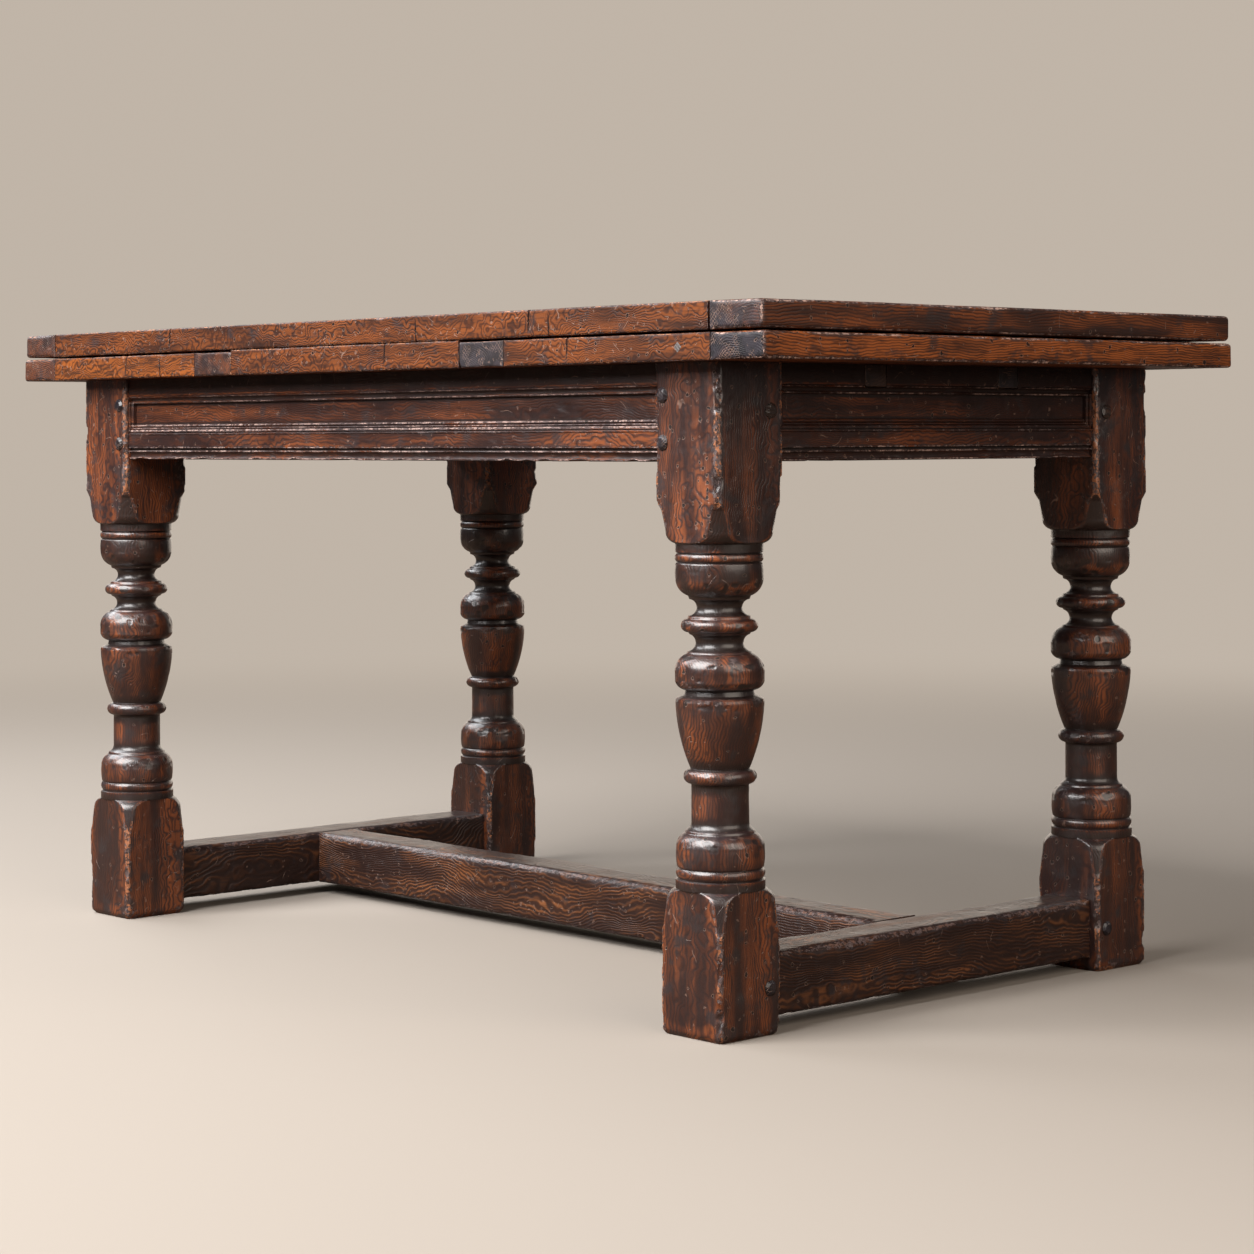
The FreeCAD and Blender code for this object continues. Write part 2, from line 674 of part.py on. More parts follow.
# centre board, with holes for the dowels of the main top
dowels = []
dowel_holes = {"front": [], "back": []}
for end, x_side in ENDS.items():
    for side, y_side in SIDES.items():
        number = 0 if y_side < 0 else PLANKS - 1
        across = f"{plank_low(number)} + {PLANK_WIDTH} / 2"
        start = (f"{x_side} * dowel_distance / 2", across, f"{TOP_UNDERSIDE} - dowel_drop")
        dowels.append(rod(f"dowel_{side}_{end}", "z", start, "dowel_diameter", "dowel_drop + dowel_bite"))
        start = (f"{x_side} * dowel_distance / 2", across, RAIL_TOP)
        hole = rod(f"dowel_hole_{side}_{end}", "z", start, "dowel_diameter + 2 * dowel_clearance",
                   "centre_board_thickness")
        dowel_holes[side].append(hole)
guide_dowels = group("guide_dowels", dowels)
for number in range(PLANKS):
    corner = ("-centre_board_length / 2", plank_low(number), RAIL_TOP)
    extent = ("centre_board_length", PLANK_WIDTH, "centre_board_thickness")
    name = f"centre_board_plank_{number + 1}"
    if number in (0, PLANKS - 1):
        side = "front" if number == 0 else "back"
        stock = block(f"{name}_board", corner, extent)
        nodes.append(carved(name, stock, centre_board_pegs, *dowel_holes[side]))
    else:
        nodes.append(block(name, corner, extent))
nodes.append(centre_board_pegs)


# leaves
def loper_screws(end):
    """Three countersunk screws up through each loper: one into the inner cleat and two into a plank."""
    x_side = ENDS[end]
    plank_inner = f"({LEAF_INNER} + leaf_cleat_width)"
    plank_outer = f"({LEAF_OUTER} - leaf_cleat_width)"
    outermost = f"min({LOPER_OUTER}; {plank_outer})"
    along = (f"({LEAF_INNER} + leaf_cleat_width / 2)", f"({plank_inner} + screw_end_margin)",
             f"({outermost} - screw_end_margin)")
    screws = []
    for side, y_side in SIDES.items():
        for number, place_x in enumerate(along):
            name = f"loper_screw_{end}_{side}_{number}"
            start = (f"{x_side} * {place_x}", f"{y_side} * {LOPER_OFFSET[end]}", LOPER_BOTTOM)
            shank = rod(f"{name}_shank", "z", start, "screw_diameter", "loper_height + screw_bite")
            head = doc.addObject("Part::Cone", f"{name}_head")
            head.setExpression("Radius1", bound("screw_head_diameter / 2"))
            head.setExpression("Radius2", bound("screw_diameter / 2"))
            head.setExpression("Height", bound("screw_head_height"))
            place(head, start)
            screws.append(joined(name, shank, head))
    return group(f"{end}_leaf_loper_screws", screws)


def leaf(end):
    """One draw leaf: planks between two cleats, two lopers below with their screws and stop pegs."""
    x_side = ENDS[end]
    prefix = f"{end}_leaf"
    plank_inner = f"({LEAF_INNER} + leaf_cleat_width)"
    plank_outer = f"({LEAF_OUTER} - leaf_cleat_width)"
    middle = f"({LEAF_UNDERSIDE} + leaf_thickness / 2)"
    screws = loper_screws(end)
    places = (f"{x_side} * ({plank_inner} - tongue_length / 2)",
              f"{x_side} * ({plank_outer} + tongue_length / 2)")
    pegs = cleat_pegs(f"{prefix}_cleat_pegs", places, LEAF_UNDERSIDE, "leaf_thickness")
    made = [screws, pegs]
    inner_tongues = []
    outer_tongues = []
    edge_peg = None
    if end == "right":
        edge_peg = leaf_edge_peg(plank_outer, middle)
        made.append(edge_peg)
    for number in range(PLANKS):
        name = f"{prefix}_plank_{number + 1}"
        length = f"({plank_outer} - {plank_inner})"
        corner = (stretch(x_side, plank_inner, length), plank_low(number), LEAF_UNDERSIDE)
        board = block(f"{name}_board", corner, (length, PLANK_WIDTH, "leaf_thickness"))
        inner = tongue(f"{name}_inner_tongue", number, -x_side, f"-{plank_inner}", middle)
        outer = tongue(f"{name}_outer_tongue", number, x_side, plank_outer, middle)
        inner_tongues.append(inner)
        outer_tongues.append(outer)
        tools = [pegs, screws]
        if edge_peg and number == 0:
            tools.append(edge_peg)
        made.append(carved(name, joined(f"{name}_blank", board, inner, outer), *tools))
    low = stretch(x_side, LEAF_INNER, "leaf_cleat_width")
    made.append(cleat(f"{prefix}_inner_cleat", low, "leaf_cleat_width", LEAF_UNDERSIDE, "leaf_thickness",
                      [*inner_tongues, pegs, screws]))
    low = stretch(x_side, plank_outer, "leaf_cleat_width")
    made.append(cleat(f"{prefix}_outer_cleat", low, "leaf_cleat_width", LEAF_UNDERSIDE, "leaf_thickness",
                      [*outer_tongues, pegs]))
    return made + lopers(end, screws)


def leaf_edge_peg(plank_outer, middle):
    """A square peg set cornerwise in the front edge of the right leaf."""
    half_diagonal = "edge_peg_side / sqrt(2)"
    peg = doc.addObject("Part::Box", "right_leaf_edge_peg")
    peg.Placement.Rotation = FreeCAD.Rotation(FreeCAD.Vector(0, 1, 0), 45)
    sides = {"Length": "edge_peg_side", "Width": "edge_peg_depth", "Height": "edge_peg_side"}
    for side, text in sides.items():
        peg.setExpression(side, bound(text))
    place(peg, (f"{plank_outer} - edge_peg_from_cleat - {half_diagonal}", "-top_width / 2", middle))
    return peg


def lopers(end, screws):
    """The two lopers of a leaf, eased where they run under the centre board, and their stop pegs."""
    x_side = ENDS[end]
    inner = f"({STOP_PEG_PLACE} + loper_tail)"
    length = f"({LOPER_OUTER} + {inner})"
    low = f"-{inner}" if x_side > 0 else f"-{LOPER_OUTER}"
    eased = f"({inner} + {LEAF_INNER})"
    eased_low = f"-{inner}" if x_side > 0 else f"-{LEAF_INNER}"
    made = []
    pegs = []
    for side, y_side in SIDES.items():
        name = f"{end}_leaf_loper_{side}"
        middle = f"{y_side} * {LOPER_OFFSET[end]}"
        start = (f"{-x_side} * {STOP_PEG_PLACE}", middle, f"{LOPER_BOTTOM} - stop_peg_drop")
        height = "stop_peg_drop + loper_height - loper_relief"
        pegs.append(rod(f"stop_peg_{end}_{side}", "z", start, "stop_peg_diameter", height))
        across = f"{middle} - loper_width / 2"
        bar = block(f"{name}_bar", (low, across, LOPER_BOTTOM), (length, "loper_width", "loper_height"))
        ease = block(f"{name}_ease", (eased_low, across, f"{LEAF_UNDERSIDE} - loper_relief"),
                     (eased, "loper_width", "loper_relief"))
        made.append(carved(name, bar, ease, pegs[-1], screws))
    return made + [group(f"{end}_leaf_stop_pegs", pegs)]


for end in ENDS:
    nodes += leaf(end)

# main top
TOP_MIDDLE = f"({TOP_UNDERSIDE} + top_thickness / 2)"
TOP_PLANK_END = "(top_length / 2 - top_cleat_width)"
places = [f"{x_side} * ({TOP_PLANK_END} + tongue_length / 2)" for x_side in ENDS.values()]
top_cleat_pegs = cleat_pegs("top_cleat_pegs", places, TOP_UNDERSIDE, "top_thickness")
top_tongues = {"right": [], "left": []}
for number in range(PLANKS):
    name = f"top_plank_{number + 1}"
    corner = (f"-{TOP_PLANK_END}", plank_low(number), TOP_UNDERSIDE)
    board = block(f"{name}_board", corner, (f"2 * {TOP_PLANK_END}", PLANK_WIDTH, "top_thickness"))
    for end, x_side in ENDS.items():
        top_tongues[end].append(tongue(f"{name}_tongue_{end}", number, x_side, TOP_PLANK_END, TOP_MIDDLE))
    blank = joined(f"{name}_blank", board, top_tongues["right"][-1], top_tongues["left"][-1])
    nodes.append(carved(name, blank, top_cleat_pegs, guide_dowels))
for end, x_side in ENDS.items():
    low = stretch(x_side, TOP_PLANK_END, "top_cleat_width")
    nodes.append(cleat(f"top_cleat_{end}", low, "top_cleat_width", TOP_UNDERSIDE, "top_thickness",
                       [*top_tongues[end], top_cleat_pegs]))
nodes += [top_cleat_pegs, guide_dowels]

doc.recompute()
for item in doc.Objects:
    if "Invalid" in item.State or "Error" in item.State:
        raise RuntimeError(f"{item.Label} failed: {item.State}")
for node in nodes:
    if node.Shape.isNull() or not node.Shape.isValid() or not node.Shape.Solids:
        raise RuntimeError(f"{node.Label} has no valid solid")

os.makedirs("parts", exist_ok=True)
for node in nodes:
    node.Shape.exportStep(f"parts/{node.Label}.step")
print(len(nodes), "nodes,", sum(len(node.Shape.Solids) for node in nodes), "solids")
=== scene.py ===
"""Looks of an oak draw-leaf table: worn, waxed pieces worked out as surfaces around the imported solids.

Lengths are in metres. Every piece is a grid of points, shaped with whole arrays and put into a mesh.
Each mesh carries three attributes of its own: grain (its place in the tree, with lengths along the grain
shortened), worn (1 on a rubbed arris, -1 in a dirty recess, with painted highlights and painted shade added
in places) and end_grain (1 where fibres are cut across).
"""
import math

import bpy
import numpy as np
from mathutils import Matrix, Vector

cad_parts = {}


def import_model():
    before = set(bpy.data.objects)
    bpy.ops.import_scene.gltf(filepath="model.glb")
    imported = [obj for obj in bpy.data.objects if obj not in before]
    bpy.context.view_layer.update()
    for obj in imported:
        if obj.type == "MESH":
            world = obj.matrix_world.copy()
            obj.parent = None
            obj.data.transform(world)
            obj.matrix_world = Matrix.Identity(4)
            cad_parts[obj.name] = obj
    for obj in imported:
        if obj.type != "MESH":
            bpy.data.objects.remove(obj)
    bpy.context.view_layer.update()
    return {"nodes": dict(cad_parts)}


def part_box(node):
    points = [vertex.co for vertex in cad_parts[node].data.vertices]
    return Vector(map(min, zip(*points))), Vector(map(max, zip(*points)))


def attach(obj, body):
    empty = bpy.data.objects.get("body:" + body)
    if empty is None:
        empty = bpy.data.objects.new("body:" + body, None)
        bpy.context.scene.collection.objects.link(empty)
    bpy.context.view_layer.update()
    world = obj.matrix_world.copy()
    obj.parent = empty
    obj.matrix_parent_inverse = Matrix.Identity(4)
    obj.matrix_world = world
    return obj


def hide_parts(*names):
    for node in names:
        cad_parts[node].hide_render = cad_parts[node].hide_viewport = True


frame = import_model()

MM = 0.001
ENDS = {"right": 1, "left": -1}
SIDES = {"front": -1, "back": 1}
PLANKS = range(1, 5)
ALONG_GRAIN = 1 / 8
X, Y, Z = range(3)

FOOT_WIDTH = 90 * MM
FOOT_HEIGHT = 152.5 * MM
BUTT = 0.6 * MM

# first seed of each kind of piece
LEG_SEED = 100
RAIL_SEED = 200
END_STRETCHER_SEED = 310
CENTRE_STRETCHER_SEED = 320
TOP_SEED = 400
TOP_CLEAT_SEED = 410
CENTRE_BOARD_SEED = 420
LEAF_SEED = 430
EDGE_PEG_SEED = 600


# random relief
CELL_PRIMES = np.array([374761393, 668265263, 1440662683])
SEED_PRIME = 1274126177
MIXER = 1103515245
LOW_BITS = 0xFFFF


def lattice(cells, seed):
    """A repeatable number from -1 to 1 for each whole-number cell: its counts times large primes, mixed."""
    mixed = (np.atleast_2d(cells) * CELL_PRIMES).sum(-1) + seed * SEED_PRIME
    mixed = (mixed ^ (mixed >> 13)) * MIXER
    return (((mixed ^ (mixed >> 16)) & LOW_BITS) / (LOW_BITS / 2) - 1).reshape(np.shape(cells)[:-1])


def relief(points, size, seed):
    """Smooth random relief from -1 to 1: lattice numbers at the corners of cells of a given size, blended
    across each cell by the smooth step."""
    scaled = points / size
    cell = np.floor(scaled).astype(np.int64)
    part = scaled - cell
    blend = part * part * (3 - 2 * part)
    total = np.zeros(points.shape[:-1])
    for corner in np.ndindex(2, 2, 2):
        share = np.where(corner, blend, 1 - blend).prod(-1)
        total += share * lattice(cell + np.array(corner), seed)
    return total


def step(values, low, high):
    """The smooth step: 0 below low, 1 above high, and three squares less two cubes of the share between."""
    share = np.clip((values - low) / (high - low), 0, 1)
    return share * share * (3 - 2 * share)


def smoothed(places, heights, length, spacing, width):
    """Heights along a line, each made the mean of its surroundings: they are read off at even places and
    averaged over that many places to either side."""
    even = np.arange(0, length, spacing)
    level = np.pad(np.interp(even, places, heights), width, mode="edge")
    level = np.convolve(level, np.ones(2 * width + 1) / (2 * width + 1), "valid")
    return np.interp(places, even, level)


# grids
def traced(outline, spacing, plain=math.inf):
    """Points along an outline of straight and curved stretches. A row of the outline is two places and the
    bow of the stretch after it. A bowed stretch is the arc of the circle that passes through both ends and
    stands off their chord by the bow: its half angle is twice the angle whose tangent is two bows over the
    chord. Straight stretches longer than the plain length have points at twice the spacing."""
    runs = []
    for (first, second, bow), (next_first, next_second, _) in zip(outline, outline[1:]):
        chord = np.array([next_first - first, next_second - second])
        length = np.hypot(*chord)
        across = np.array([-chord[1], chord[0]]) / length
        half = 2 * math.atan(2 * abs(bow) / length)
        arc = length * half / math.sin(half) if bow else length
        count = max(1, math.ceil(arc / (2 * spacing if not bow and length > plain else spacing)))
        gone = np.linspace(0, 1, count, endpoint=False)
        rise = np.zeros(count)
        if bow:
            turn = half * (2 * gone - 1)
            gone = 0.5 + np.sin(turn) / (2 * math.sin(half))
            rise = math.copysign(length, bow) * (np.cos(turn) - math.cos(half)) / (2 * math.sin(half))
        runs.append(np.array([first, second]) + gone[:, None] * chord + rise[:, None] * across)
    runs.append(np.array([outline[-1][:2]]))
    return np.concatenate(runs)


def carried_quads(stations, count):
    """Quads of a closed loop of points carried through some stations, and of its two ends, where each point
    is tied to the one across the loop."""
    index = np.arange(stations * count).reshape(stations, count)
    following = np.roll(index, -1, axis=1)
    sides = np.stack([index[:-1], following[:-1], following[1:], index[1:]], -1).reshape(-1, 4)
    near = np.arange(count // 2 - 1)
    far = count - 1 - near
    start = np.stack([far, far - 1, near + 1, near], -1)
    finish = start[:, ::-1] + (stations - 1) * count
    return np.concatenate([sides, start, finish])


def block_quads(sides):
    """Points and quads of a box: six grids, one for each face, welded where they meet. Each entry of sides
    holds the places of the grid's lines along one axis."""
    counts = [len(side) for side in sides]
    faces = []
    for axis, (first, second) in enumerate(((Y, Z), (Z, X), (X, Y))):
        i, j = np.meshgrid(np.arange(counts[first]), np.arange(counts[second]), indexing="ij")
        for end in (0, counts[axis] - 1):
            place = [None, None, None]
            place[first], place[second], place[axis] = i, j, np.full_like(i, end)
            flat = np.ravel_multi_index(place, counts)
            quads = np.stack([flat[:-1, :-1], flat[1:, :-1], flat[1:, 1:], flat[:-1, 1:]], -1).reshape(-1, 4)
            faces.append(quads if end else quads[:, ::-1])
    used, quads = np.unique(np.concatenate(faces), return_inverse=True)
    places = np.unravel_index(used, counts)
    points = np.stack([side[place] for side, place in zip(sides, places)], -1)
    return points, quads.reshape(-1, 4)


# pieces
CUT_ACROSS = (0.55, 0.8)
PITH_CELL = (3, 5)
PITH_SEED = 11
PITH_SWING = 0.9
PITH_STRIDE = 3.1
EDGE_MARKS = np.array([0, 0.1, 0.25, 0.45, 0.7])


def piece(name, points, quads, worn, along, pith, material, body, nodes, sharp=50):
    """Puts a surface into a mesh with its attributes, ties it to its body and hides the solids it stands
    for. along is the axis of the grain and pith a point on the middle line of the tree."""
    mesh = bpy.data.meshes.new(name)
    mesh.vertices.add(len(points))
    mesh.vertices.foreach_set("co", points.astype(np.float32).ravel())
    mesh.loops.add(quads.size)
    mesh.loops.foreach_set("vertex_index", quads.astype(np.int32).ravel())
    mesh.polygons.add(len(quads))
    mesh.polygons.foreach_set("loop_start", np.arange(0, quads.size, 4, dtype=np.int32))
    mesh.update(calc_edges=True)
    mesh.polygons.foreach_set("use_smooth", np.ones(len(quads), bool))
    mesh.set_sharp_from_angle(angle=math.radians(sharp))
    normals = np.empty(len(points) * 3, np.float32)
    mesh.vertex_normals.foreach_get("vector", normals)
    across = [axis for axis in (X, Y, Z) if axis != along]
    offset = points - np.asarray(pith)
    grain = np.stack([offset[:, along] * ALONG_GRAIN, offset[:, across[0]], offset[:, across[1]]], -1)
    made = mesh.attributes.new("grain", "FLOAT_VECTOR", "POINT")
    made.data.foreach_set("vector", grain.astype(np.float32).ravel())
    cut = step(np.abs(normals.reshape(-1, 3)[:, along]), *CUT_ACROSS)
    for attribute, values in (("worn", worn), ("end_grain", cut)):
        made = mesh.attributes.new(attribute, "FLOAT", "POINT")
        made.data.foreach_set("value", np.asarray(values, np.float32))
    mesh.materials.append(material)
    made = bpy.data.objects.new(name, mesh)
    bpy.context.scene.collection.objects.link(made)
    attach(made, body)
    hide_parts(*nodes)


def pith_beside(points, along, seed, distance):
    """A point on the tree's middle line, to one side of a piece and below it, at its own place along it."""
    turn = lattice(np.array([seed, *PITH_CELL]), PITH_SEED) * PITH_SWING - math.pi / 2
    middle = (points.min(0) + points.max(0)) / 2
    across = [axis for axis in (X, Y, Z) if axis != along]
    middle[across[0]] += distance * math.cos(turn)
    middle[across[1]] += distance * math.sin(turn)
    middle[along] -= PITH_STRIDE * seed
    return middle


def marks(low, high, spacing, edge):
    """Places of grid lines along one side: close within the rounded edges, then even between them."""
    near = edge * EDGE_MARKS
    count = max(1, round((high - low - 2 * edge) / spacing))
    even = np.linspace(low + edge, high - edge, count + 1)
    return np.concatenate([low + near, even, (high - near)[::-1]])


CRACK_WIDTH = 0.9 * MM
CRACK_LENGTH = 25 * MM
JOINT_REACH = (2 * MM, 14 * MM)
# cells of the random relief on a worn block
WANDER_CELL = 30 * MM
CHIP_CELL = 13 * MM
TREAD_CELL = 70 * MM
RUB_CELL = 40 * MM
HOLLOW_CELL = 45 * MM
DENT_CELL = 9 * MM


def worn_block(low, high, spacing, edge, seed, joints=(), joint_edge=0.7 * MM, chip=2.2 * MM,
               hollow=0.4 * MM, trodden=0.0, cracks=()):
    """A box with rubbed arrises: each point is drawn to a core box, smaller by the edge's radius, and set
    back at that radius from it. The radius wanders, grows where a chip is gone and by the trodden measure
    towards the top, and shrinks near the sides listed in joints, as (axis, 0 or 1). The faces then sink by a
    shallow random hollow. Cracks, listed by their place along X and their depth, are bell-shaped dips near
    the front edge that fade up or down it."""
    low, high = np.array(low), np.array(high)
    widest = edge + chip + trodden
    sides = [marks(low[axis], high[axis], spacing[axis], widest) for axis in (X, Y, Z)]
    for crack, _ in cracks:
        sides[X] = np.union1d(sides[X], crack + CRACK_WIDTH * np.linspace(-2, 2, 9))
    points, quads = block_quads(sides)
    radius = edge * (1 + 0.35 * relief(points, WANDER_CELL, seed))
    radius += chip * step(relief(points, CHIP_CELL, seed + 1), 0.42, 0.7)
    upper = step(points[:, Z], (low[Z] + high[Z]) / 2, high[Z] - 0.2 * (high[Z] - low[Z]))
    radius += trodden * upper * (0.6 + 0.4 * relief(points, TREAD_CELL, seed + 5))
    for axis, end in joints:
        gap = np.abs(points[:, axis] - (high if end else low)[axis])
        radius = np.minimum(radius, joint_edge + (widest - joint_edge) * step(gap, *JOINT_REACH))
    radius = np.minimum(radius, 0.48 * (high - low).min())[:, None]
    core = np.clip(points, low + radius, high - radius)
    away = points - core
    away /= np.linalg.norm(away, axis=1)[:, None]
    turned = np.sort(np.abs(away), axis=1)
    worn = step(turned[:, 1], 0.15, 0.7) * (0.75 + 0.35 * relief(points, RUB_CELL, seed + 2))
    sunk = hollow * (0.5 + 0.5 * relief(points, HOLLOW_CELL, seed + 3))
    sunk += 0.5 * hollow * step(relief(points, DENT_CELL, seed + 4), 0.35, 0.8)
    level = (points[:, Z] - low[Z]) / (high[Z] - low[Z])
    for number, (crack, depth) in enumerate(cracks):
        slant = CRACK_WIDTH * (1.8 * level - 0.9) * (-1) ** number
        dip = np.exp(-((points[:, X] - crack - slant) / CRACK_WIDTH) ** 2)
        dip = dip * (1 - step(points[:, Y] - low[Y], 0, CRACK_LENGTH))
        dip = dip * (1 - step(level if number % 2 else 1 - level, 0.45, 1.0))
        sunk = sunk + depth * dip
        worn = worn * (1 - dip) - 0.9 * dip
    return core + away * (radius - sunk[:, None]), quads, worn


# materials
SCRATCH_SPREAD = 0.8


def add(tree, kind, inputs=None, **settings):
    """Adds a node, sets its properties, and links or fills its inputs."""
    node = tree.nodes.new(kind)
    for name, value in settings.items():
        setattr(node, name, value)
    for name, value in (inputs or {}).items():
        if isinstance(value, bpy.types.NodeSocket):
            tree.links.new(value, node.inputs[name])
        else:
            node.inputs[name].default_value = value
    return node


class Bench:
    """The few node recipes that the finishes share, for one material."""

    def __init__(self, name):
        self.material = bpy.data.materials.new(name)
        self.material.use_nodes = True
        self.tree = self.material.node_tree
        self.tree.nodes.clear()

    def sum(self, operation, first, second=0.0, third=0.0):
        """One step of arithmetic on single values."""
        inputs = {0: first, 1: second, 2: third}
        return add(self.tree, "ShaderNodeMath", inputs, operation=operation).outputs[0]

    def vector(self, operation, first, second=(0, 0, 0)):
        """One step of arithmetic on vectors."""
        return add(self.tree, "ShaderNodeVectorMath", {0: first, 1: second}, operation=operation).outputs

    def times(self, first, second):
        """One value times another."""
        return self.sum("MULTIPLY", first, second)

    def fused(self, first, second, third):
        """One value times another, and a third added."""
        return self.sum("MULTIPLY_ADD", first, second, third)

    def noise(self, vector, scale, detail, output="Fac"):
        """Random clouds, about one over scale across."""
        inputs = {"Vector": vector, "Scale": scale, "Detail": detail}
        return add(self.tree, "ShaderNodeTexNoise", inputs).outputs[output]

    def cells(self, vector, scale, **settings):
        """Random cells, about one over scale across."""
        inputs = {"Vector": vector, "Scale": scale}
        return add(self.tree, "ShaderNodeTexVoronoi", inputs, **settings).outputs

    def pushed(self, vector, domain, scale, detail, reach):
        """A place moved about by clouds of noise in a domain, by up to half the reach along each axis."""
        cloud = self.vector("SUBTRACT", self.noise(domain, scale, detail, "Color"), (0.5, 0.5, 0.5))["Vector"]
        inputs = {0: cloud, 1: reach, 2: vector}
        return add(self.tree, "ShaderNodeVectorMath", inputs, operation="MULTIPLY_ADD").outputs["Vector"]

    def scratches(self, vector, scale, length, width):
        """Short thin strokes: in each random cell, a disc through its middle at a random slant, where it cuts
        the surface."""
        reach = SCRATCH_SPREAD / scale
        moved = self.pushed(vector, vector, scale, 1, (reach, reach, reach))
        cell = self.cells(moved, scale)
        inside = self.vector("SUBTRACT", moved, cell["Position"])["Vector"]
        slant = self.vector("SUBTRACT", cell["Color"], (0.5, 0.5, 0.5))["Vector"]
        slant = self.vector("NORMALIZE", slant)["Vector"]
        off_plate = self.sum("ABSOLUTE", self.vector("DOT_PRODUCT", inside, slant)["Value"])
        off_middle = self.vector("LENGTH", inside)["Value"]
        thin = self.between(off_plate, 0.3 * width, width, 1.0, 0.0)
        return self.times(thin, self.between(off_middle, 0.6 * length, length, 1.0, 0.0))

    def between(self, value, low, high, bottom=0.0, top=1.0):
        """A smooth step of a value from bottom, at low, to top, at high."""
        inputs = {"Value": value, "From Min": low, "From Max": high, "To Min": bottom, "To Max": top}
        return add(self.tree, "ShaderNodeMapRange", inputs, interpolation_type="SMOOTHSTEP").outputs[0]

    def mix(self, share, first, second):
        """A mix of two colours."""
        node = add(self.tree, "ShaderNodeMix", data_type="RGBA")
        sockets = {0: share, 6: first, 7: second}
        for number, value in sockets.items():
            if isinstance(value, bpy.types.NodeSocket):
                self.tree.links.new(value, node.inputs[number])
            else:
                node.inputs[number].default_value = value if number == 0 else (*value, 1)
        return node.outputs[2]

    def attribute(self, name):
        """An attribute of the piece's own mesh."""
        return add(self.tree, "ShaderNodeAttribute", attribute_name=name).outputs

    def place(self):
        """Where a point is in the table."""
        return add(self.tree, "ShaderNodeTexCoord").outputs["Object"]

    def bump(self, height, distance):
        """Small relief of the surface: a height times a distance."""
        inputs = {"Height": height, "Distance": distance, "Strength": 1.0}
        return add(self.tree, "ShaderNodeBump", inputs).outputs[0]

    def surface(self, **inputs):
        """The shader itself, with the names of its inputs written with underscores."""
        named = {name.replace("_", " "): value for name, value in inputs.items()}
        shader = add(self.tree, "ShaderNodeBsdfPrincipled", named)
        output = add(self.tree, "ShaderNodeOutputMaterial")
        self.tree.links.new(shader.outputs[0], output.inputs["Surface"])
        return self.material


ASH_DARK = (0.012, 0.0102, 0.013)
ASH_PALE = (0.028, 0.0235, 0.03)
# grey-lilac painted sheen, laid on some of the arris chips
PAINTED_SHEEN_LILAC = (0.13, 0.092, 0.088)
# pale tone of scratches and scored lines, and of the painted highlight round pits
SCAR_AND_HIGHLIGHT = (0.32, 0.2, 0.15)
SOOT = (0.013, 0.006, 0.004)
STAIN = (0.03, 0.0225, 0.0235)
# scales of the oak's noise, in clouds or cells to the metre
FINE_SCALE = 60
KNOT_SCALE = 9.0
PATCH_SCALE = 21
STREAK_SCALE = 300
DIRT_SCALE = 31
WAX_STREAKS = 52
WAX_CLOUDS = 13
WAX_LENGTHS = 1.2
STAIN_SCALE = 42
TORN_SCALE = 170
PIT_SCALE = 100.0
FLAKE_SCALE = 260.0
GRIT_SCALE = 240
DENT_SCALE = 130
ASH_SCALE = 90
ASH_PATCHES = 7
# lines scored in wood cut across: their two ways, how many to the metre, how they waver and where they lie
SCORE_WAYS = ((0.7, 0, 0.7), (0.75, 0, -0.65))
SCORE_LINES = 330
SCORE_WAVER = 80
SCORE_PATCHES = 75
# cells to the metre, length and width of the strokes
SCRATCH = (34, 9 * MM, 0.5 * MM)
NICK = (110, 3 * MM, 0.5 * MM)
TORN = (0.006, 0.006, 0.006)
# rise or depth of each mark
STREAK_RISE = 0.25 * MM
DENT_RISE = 0.3 * MM
SCRATCH_DEPTH = 0.3 * MM
SCORE_DEPTH = 0.2 * MM
PIT_DEPTH = 0.6 * MM
CHIP_DEPTH = 0.8 * MM


